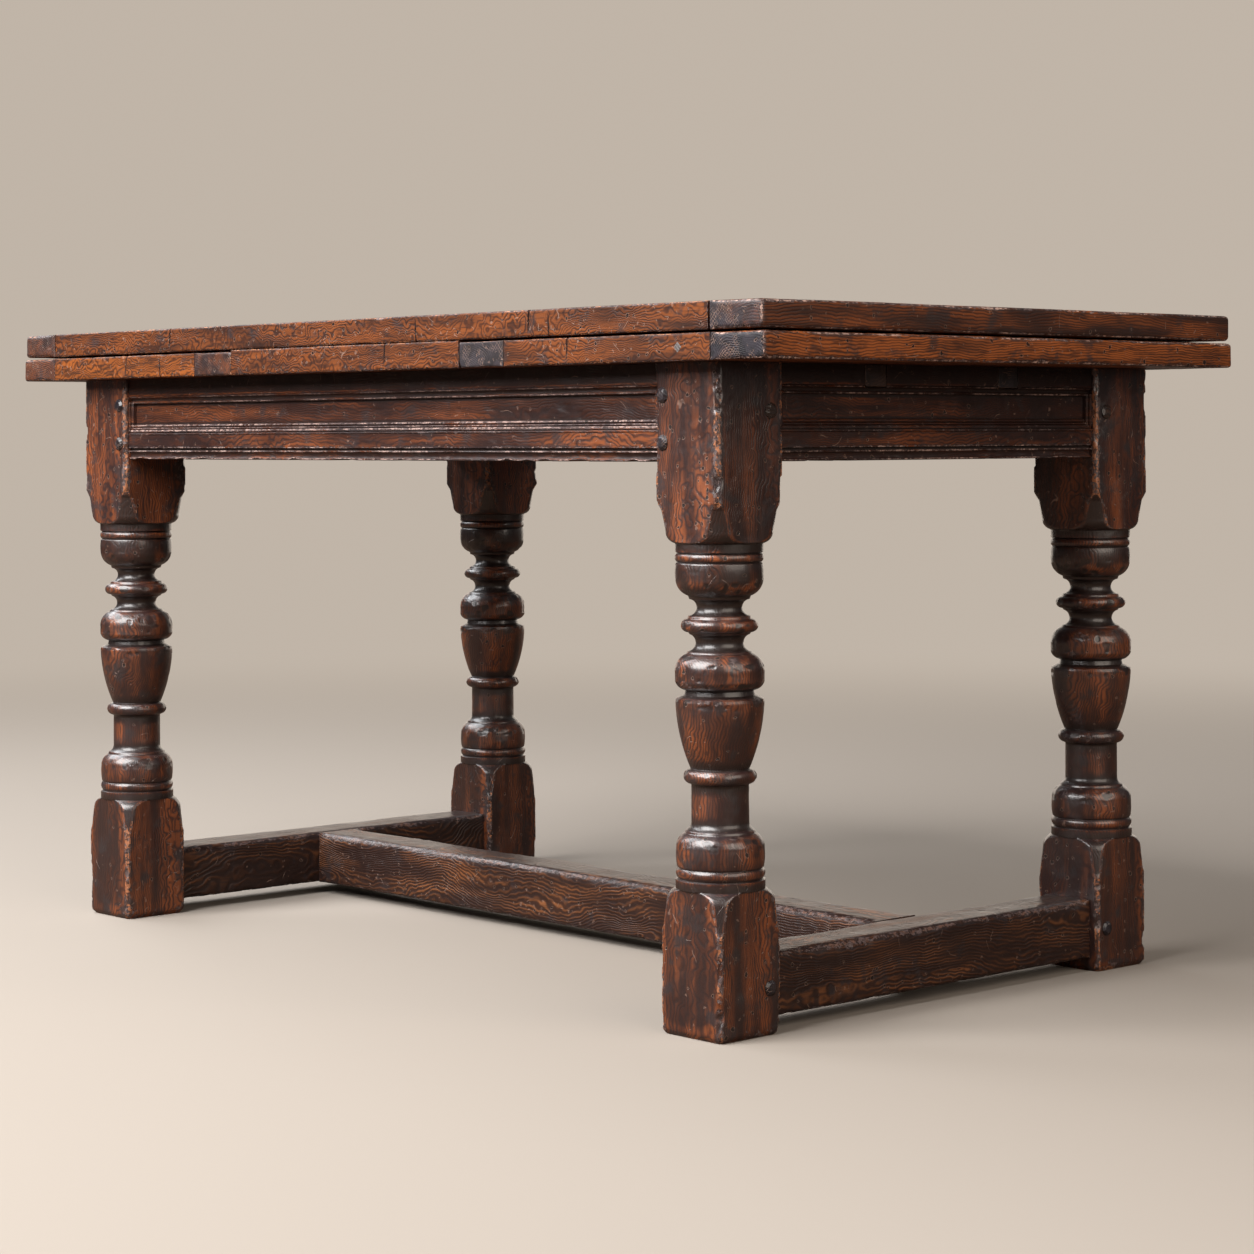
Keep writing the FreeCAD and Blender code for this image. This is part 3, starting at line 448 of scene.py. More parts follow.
def oak(name, dark, middle, pale, rubbed, open_wood, ring=3.6 * MM, bend=0.06, rough=0.42, gloss=0.2,
        scars=1.0, ash=1.0, ridges=0.22 * MM, figure=1.0, shine=0.5, patches=(0.4, 0.6), knots=4.5,
        swirl=15, fine=0.12, crest=(0.0, 0.4, 0.7, 1.0), stains=0.7, polish=0.3, mottle=0.2):
    """Old waxed oak. Rings round the pith, bent by clouds and pushed round knots, stand as fine ridges with
    dark grooves between them. Dark wax covers the wood but for the open share, a range of its clouds, and
    grey stains lie over both in clouds of their own. Scratches are thin plates at random slants, one in each
    random cell; pits are the middles of smaller cells, the larger ringed by a pale painted highlight. Arrises
    have chips, whole random cells, some pale with wear, some grey-lilac with a painted sheen; recesses hold
    soot, and wood cut across the grain is ashen, with crossed lines scored in it."""
    bench = Bench(name)
    grain = bench.attribute("grain")["Vector"]
    worn = bench.attribute("worn")["Fac"]
    end_grain = bench.attribute("end_grain")["Fac"]
    place = bench.place()

    wide = bench.vector("MULTIPLY", grain, (3, 1, 1))["Vector"]
    bent = bench.pushed(grain, wide, swirl, 1, (0, bend, bend))
    bent = bench.pushed(bent, place, FINE_SCALE, 1, (0, fine * bend, fine * bend))
    from_pith = bench.vector("LENGTH", bench.vector("MULTIPLY", bent, (0, 1, 1))["Vector"])["Value"]
    knot = bench.cells(wide, KNOT_SCALE, feature="SMOOTH_F1")
    knotted = bench.between(knot["Distance"], 0.0, 0.4, knots, 0.0)
    phase = bench.sum("FRACT", bench.fused(from_pith, 1 / ring, knotted))
    ridge = bench.times(bench.between(phase, *crest[:2]), bench.between(phase, *crest[2:], 1.0, 0.0))
    clear = bench.between(bench.noise(place, PATCH_SCALE, 2), *patches, 0.15, 1.0)
    streak = bench.noise(grain, STREAK_SCALE, 3)
    dirt = bench.noise(place, DIRT_SCALE, 3)
    cover = bench.times(bench.noise(grain, WAX_STREAKS, 3), 0.55)
    cover = bench.fused(bench.noise(wide, WAX_CLOUDS, 3), 0.45, cover)
    cover = bench.sum("SUBTRACT", cover, 0.12)
    cover = bench.fused(bench.noise(grain, WAX_LENGTHS, 0), 0.24, cover)
    cover = bench.fused(bench.sum("MINIMUM", worn, 0.0), 0.4, cover)
    bare = bench.between(cover, *open_wood)

    scratch = bench.scratches(place, *SCRATCH)
    scratch = bench.times(scratch, bench.between(dirt, 0.48, 0.56))
    nick = bench.times(bench.scratches(place, *NICK), bench.between(cover, 0.5, 0.56))
    scratch = bench.sum("MAXIMUM", scratch, nick)
    torn = bench.pushed(place, place, TORN_SCALE, 2, TORN)
    hole = bench.cells(torn, PIT_SCALE)
    size = bench.fused(hole["Color"], 0.46, -0.2)
    gap = bench.sum("SUBTRACT", hole["Distance"], size)
    pit = bench.between(gap, -0.01, 0.03, 1.0, 0.0)
    # a pale ring round the larger pits: painted highlight on their rims
    painted_rim_highlight = bench.times(bench.between(gap, 0.02, 0.04), bench.between(gap, 0.06, 0.1, 1.0, 0.0))
    painted_rim_highlight = bench.times(painted_rim_highlight, bench.between(size, 0.0, 0.05, 0.0, 0.8))

    wood = bench.mix(ridge, middle, pale)
    groove = bench.times(bench.sum("SUBTRACT", 1.0, ridge), clear)
    wood = bench.mix(bench.times(groove, 0.8 * figure), wood, dark)
    wood = bench.mix(bench.between(streak, 0.5, 0.68, 0.0, 0.7), wood, dark)
    waxed = bench.mix(bench.times(bench.times(ridge, clear), 0.55 * figure), dark, middle)
    colour = bench.mix(bare, waxed, wood)
    colour = bench.mix(bench.between(knot["Distance"], 0.02, 0.1, 0.85, 0.0), colour, dark)
    beside = bench.between(worn, 0.0, 0.3, 0.0, 0.14)
    stain = bench.sum("ADD", bench.noise(place, STAIN_SCALE, 3), beside)
    colour = bench.mix(bench.between(stain, 0.55, 0.72, 0.0, stains), colour, STAIN)

    lines = []
    for way in SCORE_WAYS:
        wavering = bench.pushed(place, place, SCORE_WAVER, 2, TORN)
        across = bench.vector("DOT_PRODUCT", wavering, way)["Value"]
        part = bench.sum("FRACT", bench.times(across, SCORE_LINES))
        lines.append(bench.sum("ABSOLUTE", bench.sum("SUBTRACT", part, 0.5)))
    lined = bench.between(bench.sum("MINIMUM", *lines), 0.03, 0.11, 1.0, 0.0)
    scored = bench.between(bench.noise(place, SCORE_PATCHES, 2), 0.5, 0.62)
    lined = bench.times(lined, scored)
    ashen = bench.mix(bench.between(bench.noise(place, ASH_SCALE, 4), 0.38, 0.62), ASH_DARK, ASH_PALE)
    ashen = bench.mix(bench.times(lined, 0.55), ashen, SCAR_AND_HIGHLIGHT)
    share = bench.between(bench.noise(place, ASH_PATCHES, 2), 0.35, 0.5, 0.6 * ash, 0.97 * ash)
    colour = bench.mix(bench.times(end_grain, share), colour, ashen)

    flake = bench.cells(torn, FLAKE_SCALE)["Color"]
    chance = bench.fused(flake, 0.8, bench.sum("SUBTRACT", worn, 0.4))
    chance = bench.fused(dirt, 0.9, bench.sum("SUBTRACT", chance, 0.45))
    rub = bench.between(chance, 0.5, 0.64)
    # chips are real wear; a share of them takes the grey-lilac painted sheen instead of the rubbed tone
    chipped = bench.mix(bench.between(flake, 0.5, 0.62), rubbed, PAINTED_SHEEN_LILAC)
    grit = bench.between(bench.noise(place, GRIT_SCALE, 2), 0.5, 0.58, 0.0, 0.8)
    chipped = bench.mix(grit, chipped, dark)
    colour = bench.mix(bench.times(rub, 0.9), colour, chipped)
    # scratches and the painted highlight round the pits both take the pale scar tone
    scar_and_rim_highlight = bench.times(bench.sum("MAXIMUM", scratch, painted_rim_highlight), 0.55 * scars)
    colour = bench.mix(scar_and_rim_highlight, colour, SCAR_AND_HIGHLIGHT)
    soot = bench.between(worn, -0.8, -0.05, 0.92, 0.0)
    soot = bench.sum("MAXIMUM", soot, bench.times(pit, 0.95))
    colour = bench.mix(soot, colour, SOOT)

    height = bench.times(bench.times(ridge, clear), ridges)
    height = bench.fused(streak, STREAK_RISE, height)
    height = bench.fused(bench.noise(place, DENT_SCALE, 3), DENT_RISE, height)
    height = bench.fused(scratch, -SCRATCH_DEPTH * scars, height)
    height = bench.fused(lined, bench.times(end_grain, -SCORE_DEPTH), height)
    height = bench.fused(pit, -PIT_DEPTH * scars, height)
    height = bench.fused(bench.times(flake, rub), -CHIP_DEPTH, height)
    roughness = bench.fused(bare, 0.5 * mottle, rough - 0.75 * mottle)
    roughness = bench.fused(dirt, mottle, roughness)
    roughness = bench.fused(soot, 0.1, roughness)
    return bench.surface(Base_Color=colour, Roughness=roughness, Normal=bench.bump(height, 1.0),
                         Specular_IOR_Level=shine, Coat_Weight=gloss, Coat_Roughness=polish)


IRON_BLACK = (0.05, 0.046, 0.043)
RUST = (0.11, 0.045, 0.02)
RUST_SCALE = 260
SPECKLE_SCALE = 240
CLOUD_SCALE = 22


def iron(name):
    """Blackened screws, browned by rust in patches."""
    bench = Bench(name)
    rust = bench.noise(bench.place(), RUST_SCALE, 4)
    colour = bench.mix(bench.between(rust, 0.48, 0.62), IRON_BLACK, RUST)
    roughness = bench.between(rust, 0.4, 0.6, 0.4, 0.75)
    bump = bench.bump(rust, 0.2 * MM)
    return bench.surface(Base_Color=colour, Roughness=roughness, Normal=bump, Metallic=0.8)


def plain_oak(name, dark, middle):
    """Bare oak of the hidden pegs and bars: fine speckles, and darker clouds over them."""
    bench = Bench(name)
    place = bench.place()
    speckle = bench.noise(place, SPECKLE_SCALE, 4)
    cloud = bench.noise(place, CLOUD_SCALE, 3)
    colour = bench.mix(bench.between(speckle, 0.35, 0.65), dark, middle)
    colour = bench.mix(bench.between(cloud, 0.5, 0.7, 0.0, 0.6), colour, dark)
    roughness = bench.between(cloud, 0.3, 0.7, 0.5, 0.75)
    return bench.surface(Base_Color=colour, Roughness=roughness, Normal=bench.bump(speckle, 0.4 * MM))


# tones of each oak: its grooves, its wood, its ridges and its rubbed arrises; then the range of open wood
BOARDS = dict(ring=2.5 * MM, bend=0.05, rough=0.58, gloss=0.03, ash=0.5, figure=0.9, shine=0.2, swirl=22,
              fine=0.25, mottle=0.05)
CLEATS = dict(ring=2.5 * MM, bend=0.03, rough=0.54, gloss=0.06, figure=0.75, mottle=0.08)
BOARD_OAK = oak("oak_boards", (0.025, 0.0095, 0.006), (0.076, 0.02, 0.0055), (0.205, 0.056, 0.012),
                (0.45, 0.2, 0.1), (0.36, 0.62), patches=(0.44, 0.6), **BOARDS)
GOLDEN_BOARD = oak("oak_golden_boards", (0.03, 0.0115, 0.006), (0.1, 0.027, 0.006),
                   (0.27, 0.074, 0.013), (0.45, 0.2, 0.1), (0.34, 0.6), patches=(0.46, 0.62), **BOARDS)
# the cleats' pale pink rubbed tone is wear with a painted highlight on their arrises
CLEAT_OAK = oak("oak_cleats", (0.026, 0.0105, 0.0075), (0.088, 0.0225, 0.0065), (0.24, 0.063, 0.0135),
                (0.5, 0.33, 0.27), (0.36, 0.58), shine=0.4, **CLEATS)
# its pale pink rubbed tone too is wear with a painted highlight on the arrises
GOLDEN_CLEAT = oak("oak_golden_cleats", (0.032, 0.0125, 0.008), (0.125, 0.033, 0.0085), (0.36, 0.098, 0.021),
                   (0.5, 0.33, 0.27), (0.32, 0.54), shine=0.3, ash=1.4, **CLEATS)
BROWN_CLEAT = oak("oak_brown_cleats", (0.024, 0.0105, 0.008), (0.075, 0.021, 0.0075), (0.2, 0.056, 0.014),
                  (0.45, 0.2, 0.1), (0.4, 0.62), shine=0.35, ash=0.35, **CLEATS)
# the frame's rubbed tone is a grey-lilac painted sheen over its worn arrises
FRAME_OAK = oak("oak_frame", (0.024, 0.0125, 0.0105), (0.072, 0.0255, 0.0115), (0.28, 0.102, 0.035),
                (0.17, 0.092, 0.068), (0.4, 0.68), ring=4.0 * MM, bend=0.09, ash=0.4, ridges=0.4 * MM,
                patches=(0.34, 0.54), figure=0.7, shine=0.38, knots=2.5, swirl=13, fine=0.08,
                crest=(0.15, 0.5, 0.55, 0.9))
LEG_OAK = oak("oak_legs", (0.026, 0.0125, 0.0115), (0.09, 0.023, 0.009), (0.28, 0.073, 0.018),
              (0.42, 0.16, 0.07), (0.38, 0.64), ring=2.2 * MM, bend=0.026, gloss=0.75, ash=0.4,
              ridges=0.18 * MM, figure=0.75, shine=0.6, knots=0.8, fine=0.3, stains=0.85, polish=0.22)
# the rails' pale pink-grey rubbed tone is wear and also the painted highlight on the reeds
RAIL_OAK = oak("oak_rails", (0.022, 0.01, 0.0088), (0.08, 0.021, 0.0078), (0.22, 0.058, 0.0145),
               (0.42, 0.29, 0.25), (0.39, 0.64), ring=2.8 * MM, bend=0.06, rough=0.46, gloss=0.12, ash=0.4,
               ridges=0.14 * MM, figure=0.7, shine=0.4)
INSIDE_OAK = oak("oak_inside", (0.05, 0.022, 0.012), (0.12, 0.058, 0.03), (0.2, 0.1, 0.05),
                 (0.25, 0.13, 0.07), (0.36, 0.6), rough=0.6, gloss=0.1, scars=0.6)
PEG_OAK = oak("oak_pegs", (0.024, 0.016, 0.014), (0.045, 0.024, 0.018), (0.08, 0.042, 0.03),
              (0.14, 0.095, 0.08), (0.42, 0.64), rough=0.38, gloss=0.3, scars=0.5)
PALE_PEG = oak("oak_pale_peg", (0.07, 0.06, 0.058), (0.11, 0.092, 0.088), (0.15, 0.13, 0.12),
               (0.24, 0.2, 0.19), (0.3, 0.5), scars=0.4, ash=0.0)
SCREW_IRON = iron("iron_screws")
HIDDEN_OAK = plain_oak("oak_hidden", (0.035, 0.014, 0.008), (0.11, 0.05, 0.026))


# legs
# height, radius and bow of each stretch of the turning, in millimetres, from the floor up
TURNING = (
    (0, 56, 0), (1.5, 59.5, 0), (6, 61.8, 0), (108.5, 61.8, 0), (113.5, 60, 0), (138.5, 57, 2.6),
    (152.5, 47, 0), (161.5, 47, 0), (163, 44.6, 0), (164.6, 45.4, 1.3), (172.8, 45.4, 0),
    (174, 44.4, 0), (175.4, 45.5, 0.7), (195, 46.2, 2.6), (209.8, 37.2, 0), (212.8, 36.2, -1.5),
    (220.5, 30.3, 0), (260, 30.2, 0), (261.2, 31.6, 6.8), (276.4, 31.6, 0), (277, 31, 3.3),
    (346.5, 46.6, 0), (349.6, 46.2, 0), (353.6, 37.2, 0), (358.2, 36.3, 0), (358.8, 37, 1.9),
    (367.5, 46.8, 0), (376, 46.9, 3.4), (395.4, 36.9, 0), (396.4, 34.8, 0), (398.6, 33.4, 0),
    (399, 32.4, -6.4), (416.2, 30.8, 0), (416.6, 31.8, 0), (418.4, 33, 0), (418.8, 34.2, 6.4),
    (432.4, 34.2, 0), (432.8, 33.8, 0), (435.4, 32.8, 0), (436, 31.6, -7.4), (453, 31.2, 0),
    (453.4, 31.9, 0), (456.4, 32.9, 0), (456.8, 33.6, 3.4), (475, 46.3, 0.5), (490.4, 45.9, 0),
    (491.6, 44.2, 0), (493, 45.5, 1.2), (500, 45.5, 0), (501.2, 44.2, 0), (502.6, 46.4, 0),
    (511, 46.6, 0), (511.6, 47.4, 2.6), (524, 56.6, 0), (546, 60.6, 0), (555.5, 66.1, 0),
    (699, 66.1, 0),
)
# height, in millimetres, and thickness of the wax, as a share of a full recess
WAX = ((0, 0.07), (150, 0.07), (160, 0.09), (446, 0.09), (458, 0.44), (488, 0.44), (496, 0.09), (530, 0))
# the one leg whose end face is darkened above the following height: painted shade of light falling off
PAINTED_SHADE_LEG = "leg_front_right"
PAINTED_SHADE_FROM = 0.5
LEG_COLUMNS = 40
LEG_SPACING = 1.2
LEG_PLAIN = 30
LEG_PITH = (22 * MM, 31 * MM)
LEG_STRIDE = 2.3
SOFTNESS = 0.5 * MM
ARRIS_REACH = 65
FOOT_EASE = 3.5 * MM
FOOT_EASE_REACH = (-4 * MM, 7 * MM)
# cells of the chips on a leg's arrises: along the arris, across it, and one for the whole of it
NICK_CELL = (9 * MM, 7 * MM, 1)
SPLIT_CELL = (30 * MM, 26 * MM, 1)
# radii over which the round of the turning gives way to a tongue on the block
TONGUE_RADII = (49 * MM, 52 * MM)


def leg(side, end):
    """A turned leg: at each height the round of the turning or the square of the blank, whichever is nearer
    to the axis, eased together. The square's corner is cut off by flats where chips are gone."""
    name = f"leg_{side}_{end}"
    low, high = (np.array(corner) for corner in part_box(name))
    axis = (low + high) / 2
    seed = LEG_SEED + 10 * list(SIDES).index(side) + list(ENDS).index(end)
    path = traced(TURNING, LEG_SPACING, LEG_PLAIN) * MM
    height, turned = path[:, :1], path[:, 1:]
    half = np.where(height < FOOT_HEIGHT, FOOT_WIDTH / 2, (high[X] - low[X]) / 2)
    half = half - FOOT_EASE * (1 - step(height, *FOOT_EASE_REACH)) / (1 - step(0, *FOOT_EASE_REACH))

    across = np.linspace(-1, 1, LEG_COLUMNS, endpoint=False)
    across = 0.55 * across + 0.45 * np.sin(across * math.pi / 2)
    angle = (np.arctan(across) + np.arange(4)[:, None] * math.pi / 2).ravel()
    from_corner = (angle % (math.pi / 2)) - math.pi / 4
    corner = np.floor(angle / (math.pi / 2)) % 4
    flat = half / np.cos(np.arctan(np.tile(across, 4)))

    aside = from_corner * ARRIS_REACH * MM
    spot = np.stack(np.broadcast_arrays(height, aside + corner, height * 0), -1)
    chipped = 1.3 * MM + 0.7 * MM * relief(spot, 24 * MM, seed)
    chipped += 1.3 * MM * step(relief(spot, NICK_CELL, seed + 1), 0.15, 0.3)
    chipped += 2.4 * MM * step(relief(spot, SPLIT_CELL, seed + 2), 0.3, 0.4)
    cut = (half * math.sqrt(2) - np.maximum(chipped, 0.6 * MM)) / np.cos(from_corner)
    square = np.minimum(flat, cut)
    nearer = np.minimum(turned, square)
    radius = nearer - SOFTNESS * np.log(1 + np.exp(-np.abs(turned - square) / SOFTNESS))

    points = np.stack([axis[X] + radius * np.cos(angle), axis[Y] + radius * np.sin(angle),
                       low[Z] + height + 0 * radius], -1)
    blocks = step(turned - half, 0, 6 * MM)
    sunk = 0.15 * MM + 0.35 * MM * blocks
    sunk = sunk * (0.6 + 0.6 * relief(points, 35 * MM, seed + 3))
    sunk = sunk + 0.25 * MM * step(relief(points, 10 * MM, seed + 4), 0.2, 0.8)
    proud = turned[:, 0] - smoothed(height[:, 0], turned[:, 0], height[-1, 0], 0.5 * MM, 26)
    proud = np.clip(proud / (2.2 * MM), -1, 0.8)[:, None] * (1 - blocks)
    nicked = step(relief(points, 7 * MM, seed + 10), 0.3, 0.55) * np.clip(proud, 0, 1)
    radius = radius - sunk - 0.9 * MM * nicked
    points[..., X] = axis[X] + radius * np.cos(angle)
    points[..., Y] = axis[Y] + radius * np.sin(angle)
    arris = 1 - step(np.abs(from_corner), 0.02, 0.11)
    patchy = 0.3 + 0.6 * relief(points, 14 * MM, seed + 7)
    proud = np.where(proud > 0, proud * patchy, 0.55 * proud) - 0.7 * nicked
    # a pale line where the round of the turning meets the square: painted highlight
    painted_meeting_highlight = np.exp(-((turned - square) / (1.3 * MM)) ** 2) * step(turned, *TONGUE_RADII)
    # the concave tongue cut into the block's arris: painted shade
    tongue = step(square - turned, 0.5 * MM, 2 * MM) * step(turned, *TONGUE_RADII)
    rubbed = 0.5 + 0.5 * relief(points, 30 * MM, seed + 5) + 0.5 * relief(points, 8 * MM, seed + 9)
    worn = proud + blocks * arris * rubbed
    beside = 0.28 * blocks * (1 - step(np.abs(from_corner), 0.05, 0.4))
    worn = worn + beside * (0.6 + 0.6 * relief(points, 40 * MM, seed + 11))
    worn = worn - np.interp(height / MM, *zip(*WAX))
    # the feet's front faces are darkened: painted shade
    worn = worn - 0.15 * step(-np.sin(angle), 0.66, 0.78) * (height < FOOT_HEIGHT)
    # the end face of this one leg is darkened from that height up: painted shade
    if name == PAINTED_SHADE_LEG:
        worn = worn - 0.28 * step(np.cos(angle), 0.72, 0.85) * (height > PAINTED_SHADE_FROM)
    # the tongue is darkened as painted shade
    worn = worn * (1 - tongue) - 0.5 * tongue
    # the line where the round meets the square is lightened as a painted highlight
    worn = worn + 0.9 * painted_meeting_highlight * (0.6 + 0.5 * relief(points, 20 * MM, seed + 8))
    worn = worn + 0.7 * (1 - step(height, 4 * MM, 22 * MM)) * (0.6 + 0.6 * relief(points, 18 * MM, seed + 6))
    points = points.reshape(-1, 3)
    pith = axis + np.array([*LEG_PITH, LEG_STRIDE * seed])
    quads = carried_quads(len(path), len(angle))
    piece(name + "_oak", points, quads, worn.ravel(), Z, pith, LEG_OAK, "frame", [name])


for side in SIDES:
    for end in ENDS:
        leg(side, end)


# rails
# drop below the top edge, depth behind the face and bow of each stretch of a rail's moulding, in millimetres
BAND = 22
MOULDING = (
    (BAND, 0.4, 0), (22.3, 2, 0), (22.7, 1, -0.7), (24.2, 1.1, 0), (24.6, 2.8, 1.3), (29.6, 4, 0),
    (30, 2.2, -0.3), (31.2, 2.3, 0), (31.6, 4.6, 0), (32.4, 7.2, 0), (58, 7, 0), (58.6, 5.6, -0.7),
    (61.4, 4.6, 0), (61.9, 5.6, 0), (62.4, 3.8, -0.6), (64.4, 3, 0), (64.8, 3.8, 0), (65.2, 2.2, -0.6),
    (67.4, 1.3, 0), (68.2, 1.1, 0), (68.6, 2.4, 0), (69.2, 2.4, 0), (69.6, 0.5, -0.4), (71.6, 0.3, 0),
    (72.1, 1.1, 0), (72.6, 0.3, 0), (88.4, 0.3, 0), (88.8, 1, 0), (89.1, 3.8, 0), (91.4, 3.8, 0),
    (91.8, 0.8, -0.4), (93.4, 0.7, 0), (93.8, 2.6, 1), (100.6, 3, 0), (101, 1.5, -0.3), (102.4, 1.6, 0),
    (103, 2.6, 0),
)
PANEL_DROP = (29.5, 67)
RETURN_STEPS = ((0, 0), (4, 0), (4.6, 2.2), (8, 2.6), (8.6, 7), (12, 7))
RAIL_SPACING = 3.6 * MM
RAIL_STEP = 1.2
NOTCH = 24.8 * MM
LOPER_ROOM = 0.5 * MM
# how much the band under the top's overhang is darkened: painted shade of the overhang
BAND_PAINTED_SHADE = 0.4
# drops between which the reeds lie, and how much their rub is raised on the long rails, as a painted
# highlight on the convex reeds, and lowered on the end rails
REEDS = (58, 68)
REED_PAINTED_LIGHT = {X: 0.45, Y: -0.25}


def rail(name, along, outward, inner, notches):
    """A moulded rail: its section carried from leg to leg. Within the panel the depth is the lesser of the
    moulding's and of the return's at each end, which mitres the two. Where a loper passes, the top edge
    drops."""
    low, high = (np.array(corner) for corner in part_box(name))
    across = Y if along == X else X
    seed = RAIL_SEED + sum(map(ord, name)) % 90
    face = high[across] if outward > 0 else low[across]
    thick = high[across] - low[across]
    top = high[Z]
    section = traced(MOULDING, RAIL_STEP) * MM
    band = np.linspace(0, BAND * MM, 9)[:-1]
    drop = np.concatenate([band, section[:, 0]])
    depth = np.concatenate([np.full(len(band), 0.3 * MM), section[:, 1]])

    stops = np.linspace(-inner, inner, round(2 * inner / RAIL_SPACING) + 1)
    steps = [edge + sign * BUTT / 4 for pair in notches for edge in pair for sign in (-1, 1)]
    mitres = [sign * (inner - x * MM) for x, _ in RETURN_STEPS for sign in (-1, 1)]
    stops = np.unique(np.concatenate([stops, steps, mitres]))
    notched = np.zeros(len(stops))
    for first, second in notches:
        notched = np.maximum(notched, (stops > first) & (stops < second))
    line = stops[:, None]
    fall = drop + np.clip(1 - drop / NOTCH, 0, 1) * (NOTCH - 0.2 * MM) * notched[:, None]

    from_end = inner - np.abs(line)
    returned = np.interp(from_end, [x * MM for x, _ in RETURN_STEPS], [d * MM for _, d in RETURN_STEPS])
    in_panel = (drop > PANEL_DROP[0] * MM) & (drop < PANEL_DROP[1] * MM)
    deep = np.where(in_panel, np.minimum(depth, np.maximum(returned, 0.2 * MM)), depth) + 0 * line
    spot = np.stack(np.broadcast_arrays(line, drop, 0 * line), -1)
    level = smoothed(drop, depth, drop[-1] + 4 * MM, 0.25 * MM, 14)
    rubbed = np.clip((level - depth) / (1.3 * MM), -1, 1)
    deep = deep + 0.22 * MM * (1 + relief(spot, 30 * MM, seed))
    deep = deep + 0.5 * MM * step(relief(spot, 11 * MM, seed + 1), 0.35, 0.8)
    foot = step(drop, 91 * MM, 94 * MM)
    deep = deep + foot * 1.1 * MM * step(relief(spot, (22 * MM, 30 * MM, 1), seed + 2), 0.0, 0.7)
    eaten = step(relief(spot, (16 * MM, 60 * MM, 1), seed + 3), 0.1, 0.7)
    fall = fall - foot * 1.6 * MM * eaten * step(drop, 97 * MM, 103 * MM)

    front = np.stack(np.broadcast_arrays(line, face - outward * deep, top - fall), -1)
    back = np.stack(np.broadcast_arrays(line, face - outward * thick + 0 * deep, top - fall), -1)[:, ::-1]
    loops = np.concatenate([front, back], 1)
    worn = np.concatenate([np.broadcast_to(rubbed, deep.shape), np.zeros(deep.shape)], 1)
    worn = worn * (0.7 + 0.4 * relief(loops, 35 * MM, seed + 4))
    reeds = (drop > REEDS[0] * MM) & (drop < REEDS[1] * MM) & (rubbed > 0)
    # the reeds are lightened on the long rails as a painted highlight, and darkened on the end rails
    worn[:, :len(drop)] += np.where(reeds, REED_PAINTED_LIGHT[along], 0)
    # the band under the overhang is darkened as painted shade
    worn[:, :len(band)] -= BAND_PAINTED_SHADE
    quads = carried_quads(*loops.shape[:2])
    points = loops.reshape(-1, 3)
    if along == Y:
        points = points[:, [1, 0, 2]]
    if (outward > 0) == (along == X):
        quads = quads[:, ::-1]
    pith = pith_beside(points, along, seed, 90 * MM)
    piece(name + "_oak", points, quads, worn.ravel(), along, pith, RAIL_OAK, "frame", [name])


leg_low, leg_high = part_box("leg_front_right")
for side, y_side in SIDES.items():
    rail(f"long_rail_{side}", X, y_side, leg_low.x + BUTT, ())
for end, x_side in ENDS.items():
    rooms = []
    for side in SIDES:
        loper_low, loper_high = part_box(f"{end}_leaf_loper_{side}")
        rooms.append((loper_low.y - LOPER_ROOM, loper_high.y + LOPER_ROOM))
    rail(f"end_rail_{end}", Y, x_side, -leg_high.y + BUTT, rooms)


# stretchers
def stretcher(name, along, reach, seed):
    """A bar of the H between the feet, its arrises rubbed round."""
    low, high = (np.array(corner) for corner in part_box(name))
    low[along], high[along] = -reach, reach
    points, quads, worn = worn_block(low, high, [3.5 * MM] * 3, 4 * MM, seed, [(along, 0), (along, 1)],
                                     chip=3 * MM, hollow=0.9 * MM, trodden=10 * MM)
    pith = pith_beside(points, along, seed, 45 * MM)
    piece(name + "_oak", points, quads, worn, along, pith, FRAME_OAK, "frame", [name])


foot_axis_x = (leg_low.x + leg_high.x) / 2
foot_axis_y = (leg_low.y + leg_high.y) / 2
end_reach = -foot_axis_y - FOOT_WIDTH / 2 + BUTT
for number, end in enumerate(ENDS):
    stretcher(f"end_stretcher_{end}", Y, end_reach, END_STRETCHER_SEED + number)
centre_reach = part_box("end_stretcher_right")[0].x + BUTT
stretcher("centre_stretcher", X, centre_reach, CENTRE_STRETCHER_SEED)


# boards
EDGE = 2.6 * MM
CORNER = 5 * MM
OPEN_JOINT = 1.6 * MM
TIGHT_JOINT = 0.8 * MM
LOPER_SPACING = (8 * MM, 6 * MM, 6 * MM)
LOPER_EDGE = 1.2 * MM
LOPER_CHIP = 1.2 * MM


def board(name, low, high, along, body, material, seed, joints, joint_edge, pith_distance=70 * MM,
          hollow=0.4 * MM, edge=EDGE, cracks=()):
    """A plank or a cleat in its own oak, rubbed along the edges that show."""
    spacing = [7 * MM] * 3
    spacing[along] = 4.5 * MM
    spacing[Z] = 3.5 * MM
    points, quads, worn = worn_block(low, high, spacing, edge, seed, joints, joint_edge, hollow=hollow,
                                     cracks=cracks)
    pith = pith_beside(points, along, seed, pith_distance)
    piece(name + "_oak", points, quads, worn, along, pith, material, body, [name])


def planks(prefix, first, second, body, seed, joint_edge, cracks=(), finish=BOARD_OAK):
    """Four planks side by side, from one cross joint to the other. The first has cracks in its front edge."""
    for number in PLANKS:
        name = f"{prefix}_plank_{number}"
        low, high = (np.array(corner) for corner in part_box(name))
        low[X], high[X] = first, second
        joints = [(X, 0), (X, 1)]
        if number > PLANKS[0]:
            joints.append((Y, 0))
        if number < PLANKS[-1]:
            joints.append((Y, 1))
        board(name, low, high, X, body, finish, seed + number, joints, joint_edge,
              cracks=cracks if number == PLANKS[0] else ())


